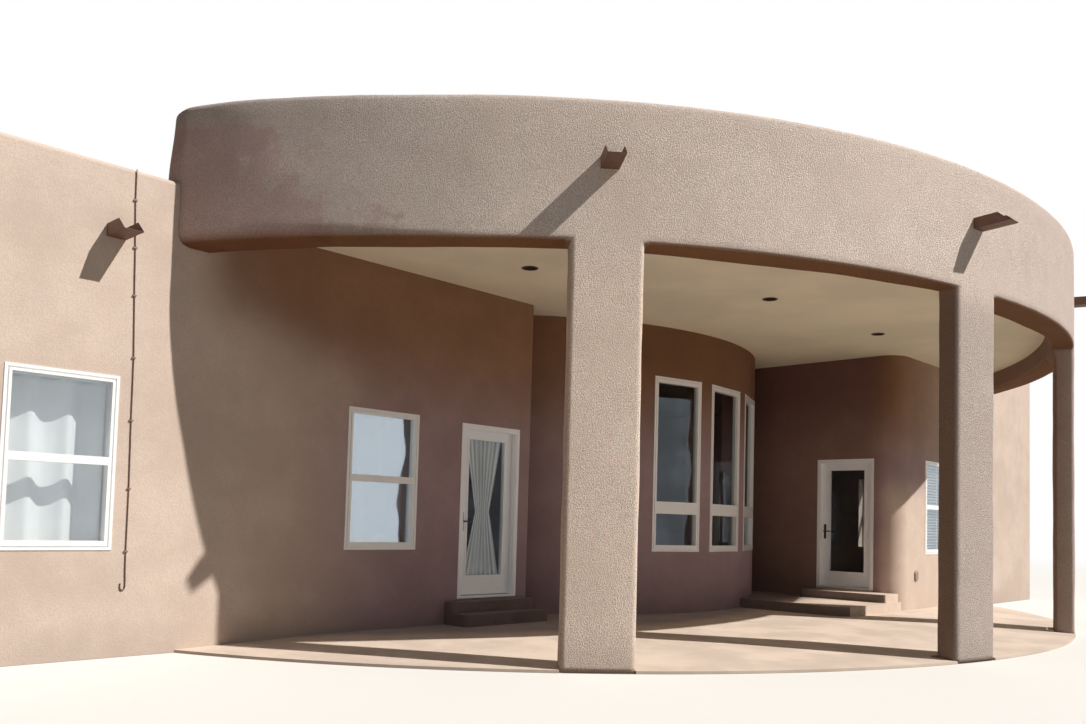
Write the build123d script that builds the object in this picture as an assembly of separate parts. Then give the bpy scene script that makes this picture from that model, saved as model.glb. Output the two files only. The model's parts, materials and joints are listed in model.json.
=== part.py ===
from build123d import *
import os
from math import sin, cos, tan, radians, sqrt

# Single-storey stucco house with a round room and a curved porch around it.
# Millimetres. The origin is the centre of the round room at ground level.
# X is the outward direction of the front wall, Y runs along it, Z is up.

# Levels above the ground
PORCH_FLOOR = 70.0
PORCH_EDGE = 25.0
HOUSE_FLOOR = 360.0
FRONT_SILL = 943.0
FRONT_HEAD = 2485.0
BAY_SILL = 931.0
BAY_HEAD = 3396.0
WING_CEILING = 3480.0
WING_ROOF = 3715.0
WING_TOP = 4380.0
BEAM_BOTTOM = 3820.0
CEILING_BOTTOM = 4105.0
CEILING_TOP = 4135.0
MAIN_CEILING = 4200.0
MAIN_ROOF = 4470.0
HIGH_TOP = 5120.0

# Plan
WALL = 300.0
RETURN_WALL = 200.0
FRONT_X = 3162.0
RETURN_Y = -3154.0
ROUND_R = 3880.0
ENTRY_Y = 2719.0
SIDE_X = 5493.0
REAR_X = -4600.0
LEFT_Y = -11000.0
RIGHT_Y = 9200.0
CORNER_R = 325.0
WALL_EDGE_R = 45.0

# Porch ring
RING_R = 8400.0
RING_THICK = 340.0
RING_EDGE_R = 60.0
RING_FOOT = 14.0
COLUMN_ANGLES = (-40.9, -12.0, 16.9)
COLUMN_WIDTH = 4.6
COLUMN_EDGE_R = 55.0
SLAB_FALL_R = 6900.0

# Windows
FRAME_PROUD = 8.0
FRAME_DEPTH = 80.0
GLASS_THICK = 6.0
BAY_ANGLES = (-28.8, -11.9, 5.0, 21.9)
BAY_WIDTH = 13.2
WINDOW_1_FROM_RING = (-1555.0, -622.0)
WINDOW_2 = (-5965.0, -5000.0)
WINDOW_3 = (3750.0, 4695.0)
PLAIN_WIDTH = 945.0

# Doors
DOOR_WIDTH = 970.0
DOOR_HEIGHT = 2100.0
DOOR_1_Y = -3856.0
DOOR_2_X = 4599.5
JAMB_FACE = 62.0
JAMB_REBATE = 50.0
JAMB_DEPTH = 120.0
THRESHOLD = 28.0
LEAF_THICK = 45.0
LEAF_FRONT = -70.0
LEAF_SIDE_GAP = 55.0
LEAF_BOTTOM = 36.0
LEAF_TOP_GAP = 56.0
STILE = 120.0
PANE_BOTTOM = 255.0
TOP_RAIL = 109.0
BEAD_WIDTH = 26.0
BEAD_PROUD = 6.0
HANDLE_FROM_EDGE = 52.0
HANDLE_Z = 920.0
PLATE_SIZE = (6.0, 38.0, 240.0)
SPINDLE_R = 5.0
SPINDLE_CLEARANCE = 0.1
LEVER_LENGTH = 112.0
HINGE_FROM_END = (204.0, 204.0)
KNUCKLE_R = 7.0
PIN_R = 4.0
PIN_CLEARANCE = 0.1
PIN_BACK = 14.0
PIN_FROM_LEAF = 2.5

# Steps
STEP_LOW = 210.0
STEP_HIGH = 335.0
STEP_1_Y = (-4530.0, -3154.0)
STEP_1_OUT = (400.0, 170.0)
STEP_2_X = 5540.0
STEP_2_FRONT = 930.0
STEP_2_HIGH = (4050.0, 5490.0, 2250.0)

# Spouts of folded sheet metal
SPOUT_LENGTH = 380.0
SPOUT_TOP_LENGTH = 250.0
SPOUT_WIDTH = 170.0
SPOUT_MOUTH = 232.0
SPOUT_HEIGHT = 113.0
SPOUT_SHEET = 3.0
RING_SPOUT_Z = 4457.0
WALL_SPOUT_FROM_RING = -718.0
WALL_SPOUT_Z = 3712.0

# Ceiling lights, cable and cover
LIGHTS = ((4379.0, -4494.0), (5731.0, -1666.0), (5873.0, 1072.0))
LIGHT_R = 75.0
CABLE_R = 5.0
CABLE_OFF = 9.0
CABLE_FROM_RING = (
    (-571.0, 4376.0), (-568.0, 4094.0), (-549.0, 3664.0), (-534.0, 3230.0),
    (-512.0, 2668.0), (-506.0, 2103.0), (-495.0, 1491.0), (-494.0, 932.0),
    (-491.0, 760.0), (-486.0, 668.0), (-486.5, 618.0), (-493.0, 596.0), (-509.0, 587.0),
    (-525.0, 596.0), (-531.0, 616.0), (-529.0, 652.0),
)
CLIP_SIZE = (16.0, 34.0, 14.0)
CLIP_BEND = 300.0
OUTLET = (3386.0, 600.0, 118.0, 165.0, 22.0)

# Curtains and blinds
CLOTH_THICK = 3.0
SHEER_PLEAT = 14.0
SHEER_TIE_Z = 1030.0
SHEER_TIE_HALF = 135.0
DRAPE_PLEAT = 96.0
DRAPE_WAVES = 3
DRAPE_SIDE_GAP = 12.0
SLAT_PITCH = 48.0
SLAT_DEPTH = 46.0
SLAT_THICK = 3.0
SLAT_TILT = 25.0

# Values that follow from the dimensions above
RING_IN = RING_R - RING_THICK
ROUND_IN = ROUND_R - WALL
FRONT_IN = FRONT_X - WALL
REAR_IN = REAR_X + WALL
LEFT_IN = LEFT_Y + WALL
RIGHT_IN = RIGHT_Y - WALL
SIDE_IN = SIDE_X - WALL
ENTRY_IN = ENTRY_Y + WALL
RETURN_IN = RETURN_Y - RETURN_WALL
RING_LEFT_Y = -sqrt(RING_R ** 2 - FRONT_X ** 2)
RING_RIGHT_Y = sqrt(RING_R ** 2 - SIDE_X ** 2)
WINDOW_1 = (RING_LEFT_Y + WINDOW_1_FROM_RING[0], RING_LEFT_Y + WINDOW_1_FROM_RING[1])
WALL_SPOUT = (RING_LEFT_Y + WALL_SPOUT_FROM_RING, WALL_SPOUT_Z)
CABLE = [(RING_LEFT_Y + away, z) for away, z in CABLE_FROM_RING]
CLIPS = CABLE[1:8]
DRUM_LEFT_X = sqrt(ROUND_IN ** 2 - RETURN_Y ** 2)
DRUM_RIGHT_X = sqrt(ROUND_IN ** 2 - ENTRY_Y ** 2)
BAY_CHORD = ROUND_R * cos(radians(BAY_WIDTH / 2))
BAY_SPAN = 2 * ROUND_R * sin(radians(BAY_WIDTH / 2))
DOOR_1_EDGES = (DOOR_1_Y - DOOR_WIDTH / 2, DOOR_1_Y + DOOR_WIDTH / 2)
DOOR_2_EDGES = (DOOR_2_X - DOOR_WIDTH / 2, DOOR_2_X + DOOR_WIDTH / 2)
DOOR_TOP = HOUSE_FLOOR + DOOR_HEIGHT
LEAF_WIDTH = DOOR_WIDTH - 2 * LEAF_SIDE_GAP
LEAF_TOP = DOOR_HEIGHT - LEAF_TOP_GAP
PANE_TOP = LEAF_TOP - TOP_RAIL
HANDLE_Y = HANDLE_FROM_EDGE - LEAF_WIDTH / 2
PIN_SIDE = LEAF_WIDTH / 2 + PIN_FROM_LEAF
HINGE_HEIGHTS = (
    LEAF_BOTTOM + HINGE_FROM_END[0], (LEAF_BOTTOM + LEAF_TOP) / 2, LEAF_TOP - HINGE_FROM_END[1]
)
FAR = 20000.0


def block(x0, x1, y0, y1, z0, z1):
    return Pos((x0 + x1) / 2, (y0 + y1) / 2, (z0 + z1) / 2) * Box(x1 - x0, y1 - y0, z1 - z0)


def disc(radius, z0, z1, x=0.0, y=0.0):
    return Pos(x, y, (z0 + z1) / 2) * Cylinder(radius, z1 - z0)


def band(r0, r1, z0, z1):
    return disc(r1, z0, z1) - disc(r0, z0, z1)


def wedge(a0, a1, z0, z1):
    mid = (a0 + a1) / 2
    points = [(0, 0)]
    for a in (a0, mid, a1):
        points.append((FAR * cos(radians(a)), FAR * sin(radians(a))))
    return Pos(0, 0, z0) * extrude(make_face(Polyline(*points, close=True)), z1 - z0)


def prism(points, z0, z1):
    return Pos(0, 0, z0) * extrude(make_face(Polyline(*points, close=True)), z1 - z0)


def compound(solids):
    return Compound(children=list(solids))


# Windows: built with the outer wall face at x = 0, centred on y, sill at z = 0
def window_hole(width, height):
    return block(-WALL - 150, 150, -width / 2, width / 2, 0, height)


def window_frame(width, height, side, top, bottom, rail0, rail1, lower_side):
    body = block(-FRAME_DEPTH, FRAME_PROUD, -width / 2, width / 2, 0, height)
    upper = block(-150, 50, -width / 2 + side, width / 2 - side, rail1, height - top)
    lower_y = width / 2 - lower_side
    lower = block(-150, 50, -lower_y, lower_y, bottom, rail0)
    groove = block(FRAME_PROUD - 12, 50, -width / 2 + 26, width / 2 - 26, 26, height - 26)
    inner = block(-150, 60, -width / 2 + 36, width / 2 - 36, 36, height - 36)
    return body - upper - lower - (groove - inner)


def window_panes(width, height, side, top, bottom, rail0, rail1, lower_side):
    x0 = -44.0
    upper = block(x0, x0 + GLASS_THICK, -width / 2 + side, width / 2 - side, rail1, height - top)
    lower_y = width / 2 - lower_side
    lower = block(x0 - 14, x0 - 14 + GLASS_THICK, -lower_y, lower_y, bottom, rail0)
    return [upper, lower]


FRONT_H = FRONT_HEAD - FRONT_SILL
FRONT_RAILS = (60.0, 60.0, 81.0, 745.0, 817.0, 66.0)
BAY_H = BAY_HEAD - BAY_SILL
BAY_RAILS = (65.0, 83.0, 91.0, 532.0, 702.0, 65.0)


def front_window_place(y0, y1):
    return Pos(FRONT_X, (y0 + y1) / 2, FRONT_SILL)


def bay_place(angle):
    return Rot(0, 0, angle) * Pos(BAY_CHORD, 0, BAY_SILL)


plain_places = [
    (Pos(SIDE_X, (WINDOW_3[0] + WINDOW_3[1]) / 2, FRONT_SILL), "side"),
    (Pos(REAR_X, -8900, FRONT_SILL) * Rot(0, 0, 180), "rear_low"),
    (Pos(REAR_X, -5600, FRONT_SILL) * Rot(0, 0, 180), "rear_low"),
    (Pos(REAR_X, -1500, FRONT_SILL) * Rot(0, 0, 180), "rear_high"),
    (Pos(REAR_X, 2200, FRONT_SILL) * Rot(0, 0, 180), "rear_high"),
    (Pos(REAR_X, 6400, FRONT_SILL) * Rot(0, 0, 180), "rear_high"),
    (Pos(-2600, LEFT_Y, FRONT_SILL) * Rot(0, 0, -90), "left_end"),
    (Pos(1100, LEFT_Y, FRONT_SILL) * Rot(0, 0, -90), "left_end"),
    (Pos(-1350, RIGHT_Y, FRONT_SILL) * Rot(0, 0, 90), "right_end"),
    (Pos(2400, RIGHT_Y, FRONT_SILL) * Rot(0, 0, 90), "right_end"),
]


def plain_holes(wall):
    holes = [place * window_hole(PLAIN_WIDTH, FRONT_H) for place, name in plain_places if name == wall]
    return holes


# Soft outer edges of the walls, shared by every wall of a block
wing_block = block(REAR_X, FRONT_X, LEFT_Y, 0, 0, WING_TOP)
wing_sharp = wing_block.edges().filter_by(Axis.Z).group_by(Axis.Y)[0]
wing_block = fillet(wing_sharp, WALL_EDGE_R + 10)
wing_rim = wing_block.faces().sort_by(Axis.Z)[-1].edges()
wing_rim = [e for e in wing_rim if e.center().Y < -200]
wing_block = fillet(wing_rim, WALL_EDGE_R)

high_block = block(REAR_X, SIDE_X, 0, RIGHT_Y, 0, HIGH_TOP)
high_sharp = high_block.edges().filter_by(Axis.Z).group_by(Axis.Y)[-1]
high_block = fillet(high_sharp, WALL_EDGE_R + 10)
high_rim = high_block.faces().sort_by(Axis.Z)[-1].edges()
high_rim = [e for e in high_rim if e.center().Y > 200]
high_block = fillet(high_rim, WALL_EDGE_R)
high_block = high_block + block(REAR_X, 0, -3354, 1000, 0, HIGH_TOP - 200)
rear_strip = block(REAR_X, REAR_X + 600, RETURN_IN, 1000, 0, HIGH_TOP)
strip_edge = rear_strip.faces().sort_by(Axis.Z)[-1].edges().filter_by(Axis.Y).sort_by(Axis.X)[0]
rear_strip = fillet(strip_edge, WALL_EDGE_R)
high_block = high_block + rear_strip

step_outline = block(FRONT_IN, FRONT_X, RING_LEFT_Y, RETURN_Y, 0, HIGH_TOP)
step_outline = step_outline + block(REAR_IN, FRONT_X, RETURN_IN, RETURN_Y, 0, HIGH_TOP)
step_corner = [
    e
    for e in step_outline.edges().filter_by(Axis.Z)
    if abs(e.center().X - FRONT_X) < 1 and abs(e.center().Y - RETURN_Y) < 1
]
step_outline = fillet(step_corner, WALL_EDGE_R)
step_rim = step_outline.faces().sort_by(Axis.Z)[-1].edges()
step_rim = [e for e in step_rim if e.center().Y > RING_LEFT_Y + 5 and e.center().X > REAR_IN + 5]
step_outline = fillet(step_rim, WALL_EDGE_R - 5)

# Front wall
front_wall_low = block(FRONT_IN, FRONT_X, LEFT_Y, RING_LEFT_Y, 0, WING_TOP) & wing_block
front_wall_low -= front_window_place(*WINDOW_1) * window_hole(WINDOW_1[1] - WINDOW_1[0], FRONT_H)

ring_end = band(RING_IN, RING_R, WING_TOP, HIGH_TOP) & block(FRONT_IN, FRONT_X, -9000, RING_LEFT_Y, 0, 6000)
front_wall_high = block(FRONT_IN, FRONT_X, RING_LEFT_Y, DOOR_1_EDGES[0], 0, HIGH_TOP) & step_outline
front_wall_high = front_wall_high + ring_end
front_wall_high -= front_window_place(*WINDOW_2) * window_hole(WINDOW_2[1] - WINDOW_2[0], FRONT_H)

front_wall_over_door = block(FRONT_IN, FRONT_X, *DOOR_1_EDGES, DOOR_TOP, HIGH_TOP) & step_outline

corner_plan = block(FRONT_IN, FRONT_X, DOOR_1_EDGES[1], RETURN_Y, 0, HIGH_TOP)
corner_plan = corner_plan + block(DRUM_LEFT_X, FRONT_X - 100, RETURN_IN, RETURN_Y, 0, HIGH_TOP)
wing_corner_wall = corner_plan & step_outline

roof_step_wall = block(REAR_IN, DRUM_LEFT_X, RETURN_IN, RETURN_Y, WING_CEILING, HIGH_TOP) & step_outline

# Round wall with its row of tall windows
round_clip = block(0, 5000, RETURN_Y, ENTRY_Y, 0, MAIN_CEILING)
round_wall_lower = band(ROUND_IN, ROUND_R, 0, BAY_SILL) & round_clip
round_wall_upper = band(ROUND_IN, ROUND_R, BAY_HEAD, MAIN_CEILING) & round_clip
piers = band(ROUND_IN, ROUND_R, BAY_SILL, BAY_HEAD) & round_clip
for angle in BAY_ANGLES:
    piers -= bay_place(angle) * window_hole(BAY_SPAN, BAY_H)
round_wall_piers = compound(piers.solids())

# Entry wall and side wall
entry_wall_left = block(DRUM_RIGHT_X, DOOR_2_EDGES[0], ENTRY_Y, ENTRY_IN, 0, MAIN_CEILING)
entry_wall_over_door = block(*DOOR_2_EDGES, ENTRY_Y, ENTRY_IN, DOOR_TOP, MAIN_CEILING)
entry_pier = block(DOOR_2_EDGES[1], SIDE_X, ENTRY_Y, ENTRY_IN + 400, 0, MAIN_CEILING)
pier_edge = entry_pier.edges().filter_by(Axis.Z).sort_by(lambda e: e.center().X - e.center().Y)[-1]
entry_pier = fillet(pier_edge, CORNER_R)
entry_pier -= block(DOOR_2_EDGES[1] - 10, SIDE_IN, ENTRY_IN, ENTRY_IN + 500, -10, MAIN_CEILING + 10)
side_wall = entry_pier + block(SIDE_IN, SIDE_X, ENTRY_IN + 350, RING_RIGHT_Y, 0, MAIN_CEILING)
side_wall = side_wall + (block(SIDE_IN, SIDE_X, RING_RIGHT_Y, RIGHT_IN, 0, HIGH_TOP) & high_block)
for hole in plain_holes("side"):
    side_wall -= hole

# Walls out of sight, finished in the same way
right_end_wall = block(REAR_X, SIDE_X, RIGHT_IN, RIGHT_Y, 0, HIGH_TOP) & high_block
for hole in plain_holes("right_end"):
    right_end_wall -= hole
rear_wall_high = block(REAR_X, REAR_IN, RETURN_IN, RIGHT_IN, 0, HIGH_TOP) & high_block
for hole in plain_holes("rear_high"):
    rear_wall_high -= hole
rear_wall_low = block(REAR_X, REAR_IN, LEFT_IN, RETURN_IN, 0, WING_TOP) & wing_block
for hole in plain_holes("rear_low"):
    rear_wall_low -= hole
left_end_wall = block(REAR_X, FRONT_IN, LEFT_Y, LEFT_IN, 0, WING_TOP) & wing_block
for hole in plain_holes("left_end"):
    left_end_wall -= hole

# Spouts: folded sheet open at the top, cut back at a slant
def spout(wall_depth):
    half = SPOUT_WIDTH / 2
    mouth = SPOUT_MOUTH / 2
    outer = [
        (-wall_depth, -half), (0, -half), (SPOUT_LENGTH, -mouth),
        (SPOUT_LENGTH, mouth), (0, half), (-wall_depth, half),
    ]
    s = SPOUT_SHEET
    inner = [
        (-wall_depth - 5, -half + s), (0, -half + s), (SPOUT_LENGTH + 5, -mouth + s),
        (SPOUT_LENGTH + 5, mouth - s), (0, half - s), (-wall_depth - 5, half - s),
    ]
    body = prism(outer, 0, SPOUT_HEIGHT) - prism(inner, s, SPOUT_HEIGHT + 5)
    cut = [
        (SPOUT_TOP_LENGTH, SPOUT_HEIGHT + 1), (SPOUT_LENGTH + 20, SPOUT_HEIGHT + 1),
        (SPOUT_LENGTH + 20, s), (SPOUT_LENGTH, s),
    ]
    face = Plane.XZ * make_face(Polyline(*cut, close=True))
    return body - Pos(0, mouth + 20, 0) * extrude(face, 2 * mouth + 40)


def spout_slot(wall_depth):
    return block(-wall_depth - 60, 60, -SPOUT_WIDTH / 2, SPOUT_WIDTH / 2, 0, SPOUT_HEIGHT)


spout_places = [Rot(0, 0, a) * Pos(RING_R, 0, RING_SPOUT_Z) for a in COLUMN_ANGLES]
porch_canales = compound([place * spout(RING_THICK) for place in spout_places])
wall_spout_place = Pos(FRONT_X, *WALL_SPOUT)
wall_canale = wall_spout_place * spout(WALL)
front_wall_low -= wall_spout_place * spout_slot(WALL)

# Porch ring: a beam and parapet in one, on three columns
soft = RING_EDGE_R * (1 - cos(radians(45)))
ring_section = Plane.XZ * make_face(
    Polyline(
        (RING_IN, BEAM_BOTTOM), (RING_R - RING_FOOT, BEAM_BOTTOM), (RING_R, BEAM_BOTTOM + RING_FOOT),
        (RING_R, HIGH_TOP - RING_EDGE_R), (RING_R - soft, HIGH_TOP - soft), (RING_R - RING_EDGE_R, HIGH_TOP),
        (RING_IN + RING_EDGE_R, HIGH_TOP), (RING_IN + soft, HIGH_TOP - soft),
        (RING_IN, HIGH_TOP - RING_EDGE_R), close=True,
    )
)
ring = revolve(ring_section, Axis.Z, 360)
for place in spout_places:
    ring -= place * spout_slot(RING_THICK)
ring_clip = block(FRONT_X, FAR, -FAR, 0, 0, 6000) + block(SIDE_X, FAR, 0, FAR, 0, 6000)
splits = (-80.0,) + COLUMN_ANGLES + (70.0,)
beams = []
for a0, a1 in zip(splits[:-1], splits[1:]):
    beams.append(ring & wedge(a0, a1, BEAM_BOTTOM, HIGH_TOP) & ring_clip)

columns = []
column_notches = []
for angle in COLUMN_ANGLES:
    half = COLUMN_WIDTH / 2
    shaft = band(RING_IN, RING_R, 0, BEAM_BOTTOM) & wedge(angle - half, angle + half, 0, BEAM_BOTTOM)
    shaft = fillet(shaft.edges().filter_by(Axis.Z), COLUMN_EDGE_R)
    columns.append(shaft)
    notch = band(RING_IN, RING_R + 200, -10, 200) & wedge(angle - half, angle + half, -10, 200)
    inner_edges = [
        e for e in notch.edges().filter_by(Axis.Z) if e.center().X ** 2 + e.center().Y ** 2 < RING_R ** 2
    ]
    column_notches.append(fillet(inner_edges, COLUMN_EDGE_R))

# Ground-level plan of the house, used to trim the porch pieces
def house_plan(z0, z1):
    plan = block(0, FRONT_X, -FAR, RETURN_Y, z0, z1)
    plan = plan + disc(ROUND_R, z0, z1)
    side = block(0, SIDE_X, ENTRY_Y, FAR, z0, z1)
    edge = side.edges().filter_by(Axis.Z).sort_by(lambda e: e.center().X - e.center().Y)[-1]
    return plan + fillet(edge, CORNER_R)


# Porch floor: level near the house, falling towards its outer edge
floor_section = Plane.XZ * make_face(
    Polyline(
        (3000, 0), (RING_R, 0), (RING_R, PORCH_EDGE), (SLAB_FALL_R, PORCH_FLOOR), (3000, PORCH_FLOOR),
        close=True,
    )
)
porch_floor = revolve(floor_section, Axis.Z, 360)
porch_floor = porch_floor & block(1, FAR, -FAR, FAR, -10, 200)
porch_floor -= house_plan(-10, 200)
for notch in column_notches:
    porch_floor -= notch

# Porch ceiling board and roof
ceiling = disc(RING_IN, CEILING_BOTTOM, CEILING_TOP) & block(1, FAR, -FAR, FAR, 0, 6000)
ceiling -= house_plan(CEILING_BOTTOM - 10, CEILING_TOP + 10)
for x, y in LIGHTS:
    ceiling -= disc(LIGHT_R, CEILING_BOTTOM - 5, CEILING_TOP + 5, x, y)
porch_ceiling = ceiling
porch_roof = disc(RING_IN, MAIN_CEILING, MAIN_ROOF) & block(1, FAR, -FAR, FAR, 0, 6000)
porch_roof -= house_plan(MAIN_CEILING - 10, MAIN_ROOF + 10)

# Roofs and floors of the house
left_wing_roof = block(REAR_IN, FRONT_IN, LEFT_IN, RETURN_IN, WING_CEILING, WING_ROOF)


def main_plan(z0, z1):
    plan = block(REAR_IN, 1000, RETURN_Y, RIGHT_IN, z0, z1)
    plan = plan + (disc(ROUND_R, z0, z1) & block(0, 5000, RETURN_Y, ENTRY_Y + 5, z0, z1))
    front = block(0, SIDE_X, ENTRY_Y, RING_RIGHT_Y, z0, z1)
    edge = front.edges().filter_by(Axis.Z).sort_by(lambda e: e.center().X - e.center().Y)[-1]
    plan = plan + fillet(edge, CORNER_R)
    return plan + block(0, SIDE_IN, RING_RIGHT_Y - 5, RIGHT_IN, z0, z1)


main_roof = main_plan(MAIN_CEILING, MAIN_ROOF)

left_wing_floor = block(REAR_IN, FRONT_IN, LEFT_IN, RETURN_IN, 0, HOUSE_FLOOR)
left_wing_floor = left_wing_floor + block(FRONT_IN - 5, FRONT_X, *DOOR_1_EDGES, 0, HOUSE_FLOOR)

main_floor = block(REAR_IN, DRUM_LEFT_X, RETURN_IN, 0, 0, HOUSE_FLOOR)
main_floor = main_floor + block(REAR_IN, 1000, -5, RIGHT_IN, 0, HOUSE_FLOOR)
main_floor = main_floor + (disc(ROUND_IN, 0, HOUSE_FLOOR) & block(0, 5000, RETURN_Y, ENTRY_Y, 0, 1000))
main_floor = main_floor + block(0, DRUM_RIGHT_X, ENTRY_Y - 5, ENTRY_IN + 5, 0, HOUSE_FLOOR)
main_floor = main_floor + block(0, SIDE_IN, ENTRY_IN, RIGHT_IN, 0, HOUSE_FLOOR)
main_floor = main_floor + block(*DOOR_2_EDGES, ENTRY_Y, ENTRY_IN + 5, 0, HOUSE_FLOOR)

# Steps at the doors
step_low = block(FRONT_X, FRONT_X + STEP_1_OUT[0], *STEP_1_Y, PORCH_FLOOR, STEP_LOW)
step_low = fillet(step_low.edges().filter_by(Axis.Z).group_by(Axis.X)[-1], 60)
step_high = block(FRONT_X, FRONT_X + STEP_1_OUT[1], *STEP_1_Y, STEP_LOW, STEP_HIGH)
step_high = fillet(step_high.edges().filter_by(Axis.Z).group_by(Axis.X)[-1], 60)
door_1_steps = step_low + step_high

landing = block(2000, STEP_2_X, STEP_2_FRONT, ENTRY_Y, PORCH_FLOOR, STEP_LOW)
landing_edge = landing.edges().filter_by(Axis.Z).sort_by(lambda e: e.center().X - e.center().Y)[-1]
landing = fillet(landing_edge, 380)
landing = landing - house_plan(0, 1000)
upper = block(STEP_2_HIGH[0], STEP_2_HIGH[1], STEP_2_HIGH[2], ENTRY_Y, STEP_LOW, STEP_HIGH)
upper = fillet(upper.edges().filter_by(Axis.Z).group_by(Axis.Y)[0], 60)
door_2_steps = landing + (upper - house_plan(0, 1000))

# Window frames and panes
front_frames = []
front_panes = []
for y0, y1 in (WINDOW_1, WINDOW_2):
    place = front_window_place(y0, y1)
    front_frames.append(place * window_frame(y1 - y0, FRONT_H, *FRONT_RAILS))
    front_panes += [place * pane for pane in window_panes(y1 - y0, FRONT_H, *FRONT_RAILS)]
front_window_frames = compound(front_frames)
plain_frames = []
for place, name in plain_places:
    plain_frames.append(place * window_frame(PLAIN_WIDTH, FRONT_H, *FRONT_RAILS))
    front_panes += [place * pane for pane in window_panes(PLAIN_WIDTH, FRONT_H, *FRONT_RAILS)]
plain_window_frames = compound(plain_frames)
window_glass = compound(front_panes)
bay_frames = []
bay_panes = []
for angle in BAY_ANGLES:
    bay_frames.append(bay_place(angle) * window_frame(BAY_SPAN, BAY_H, *BAY_RAILS))
    bay_panes += [bay_place(angle) * pane for pane in window_panes(BAY_SPAN, BAY_H, *BAY_RAILS)]
bay_window_frames = compound(bay_frames)
bay_window_glass = compound(bay_panes)

# Doors: built with the outer wall face at x = 0, centred on y, hinged at +y, opening inwards
LEAF_BACK = LEAF_FRONT - LEAF_THICK
PIN_X = LEAF_BACK - PIN_BACK
half_door = DOOR_WIDTH / 2


def knuckle_block(z0, z1):
    outline = RegularPolygon(KNUCKLE_R, 12)
    return Pos(PIN_X, PIN_SIDE, z0) * extrude(outline, z1 - z0)


frame = block(-JAMB_DEPTH, FRAME_PROUD, -half_door, half_door, 0, DOOR_HEIGHT)
frame -= block(
    LEAF_FRONT + 5, 50, -half_door + JAMB_FACE, half_door - JAMB_FACE, THRESHOLD, DOOR_HEIGHT - JAMB_FACE
)
frame -= block(
    -200, LEAF_FRONT + 5, -half_door + JAMB_REBATE, half_door - JAMB_REBATE, THRESHOLD,
    DOOR_HEIGHT - JAMB_REBATE,
)
frame -= block(FRAME_PROUD - 8, 50, -half_door + 46, half_door - 46, THRESHOLD, DOOR_HEIGHT - 46)
leaf = block(LEAF_BACK, LEAF_FRONT, -LEAF_WIDTH / 2, LEAF_WIDTH / 2, LEAF_BOTTOM, LEAF_TOP)
half_pane = LEAF_WIDTH / 2 - STILE
bead = block(
    LEAF_BACK - BEAD_PROUD, LEAF_FRONT + BEAD_PROUD, -half_pane - BEAD_WIDTH / 2, half_pane + BEAD_WIDTH / 2,
    PANE_BOTTOM - BEAD_WIDTH / 2, PANE_TOP + BEAD_WIDTH / 2,
)
leaf = leaf + bead
half_glass = half_pane - BEAD_WIDTH / 2
glass_z = (PANE_BOTTOM + BEAD_WIDTH / 2, PANE_TOP - BEAD_WIDTH / 2)
leaf -= block(-300, 100, -half_glass, half_glass, *glass_z)
pane_x = (LEAF_BACK + LEAF_FRONT - GLASS_THICK) / 2
pane = block(pane_x, pane_x + GLASS_THICK, -half_glass, half_glass, *glass_z)
for z in HINGE_HEIGHTS:
    knuckle = knuckle_block(z - 17, z + 17)
    leaf = leaf + knuckle + block(PIN_X, LEAF_BACK, PIN_SIDE - KNUCKLE_R, LEAF_WIDTH / 2, z - 17, z + 17)
    leaf -= disc(PIN_R + PIN_CLEARANCE, z - 20, z + 20, PIN_X, PIN_SIDE)
    frame = frame + disc(PIN_R, z - 30, z + 30, PIN_X, PIN_SIDE)
    for z0, z1 in ((z - 50, z - 18), (z + 18, z + 50)):
        knuckle = knuckle_block(z0, z1)
        web = block(PIN_X, -JAMB_DEPTH, half_door - JAMB_REBATE, PIN_SIDE + KNUCKLE_R, z0, z1)
        frame = frame + knuckle + web

spindle_line = Pos(0, HANDLE_Y, HANDLE_Z) * Rot(0, 90, 0)
bore = spindle_line * Cylinder(SPINDLE_R + SPINDLE_CLEARANCE, 400)
leaf -= bore
plate_t, plate_w, plate_h = PLATE_SIZE
plates = []
for x0, x1 in ((LEAF_FRONT, LEAF_FRONT + plate_t), (LEAF_BACK - plate_t, LEAF_BACK)):
    plate = block(
        x0, x1, HANDLE_Y - plate_w / 2, HANDLE_Y + plate_w / 2, HANDLE_Z - plate_h / 2 - 4,
        HANDLE_Z + plate_h / 2 - 4,
    )
    plate = chamfer(plate.edges().filter_by(Axis.X), plate_w / 4)
    plates.append(plate - bore)
plates = compound(plates)
lever_out = LEAF_FRONT + plate_t + 1
lever_in = LEAF_BACK - plate_t - 1
spindle = spindle_line * Cylinder(SPINDLE_R, lever_out - lever_in + 20)
lever = Pos((lever_out + lever_in) / 2, 0, 0) * spindle
for sign, face_x in ((1, lever_out), (-1, lever_in)):
    neck = Pos(face_x + sign * 20, 0, 0) * (spindle_line * extrude(RegularPolygon(11, 12), 20, both=True))
    grip_x = sorted((face_x + sign * 28, face_x + sign * 42))
    grip = block(*grip_x, HANDLE_Y - 11, HANDLE_Y + LEVER_LENGTH, HANDLE_Z - 9, HANDLE_Z + 9)
    grip = chamfer(grip.edges().filter_by(Axis.X), 5)
    lever = lever + neck + grip

door_1_place = Pos(FRONT_X, DOOR_1_Y, HOUSE_FLOOR)
door_2_place = Pos(DOOR_2_X, ENTRY_Y, HOUSE_FLOOR) * Rot(0, 0, -90)


# Cloth: pleated sheets
def pleats(y0, y1, x, count, z0, z1, depth):
    front = []
    for i in range(2 * count + 1):
        y = y0 + (y1 - y0) * i / (2 * count)
        front.append((x + (depth if i % 2 else 0.0), y))
    back = [(px - CLOTH_THICK, py) for px, py in reversed(front)]
    return prism(front + back, z0, z1)


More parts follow.
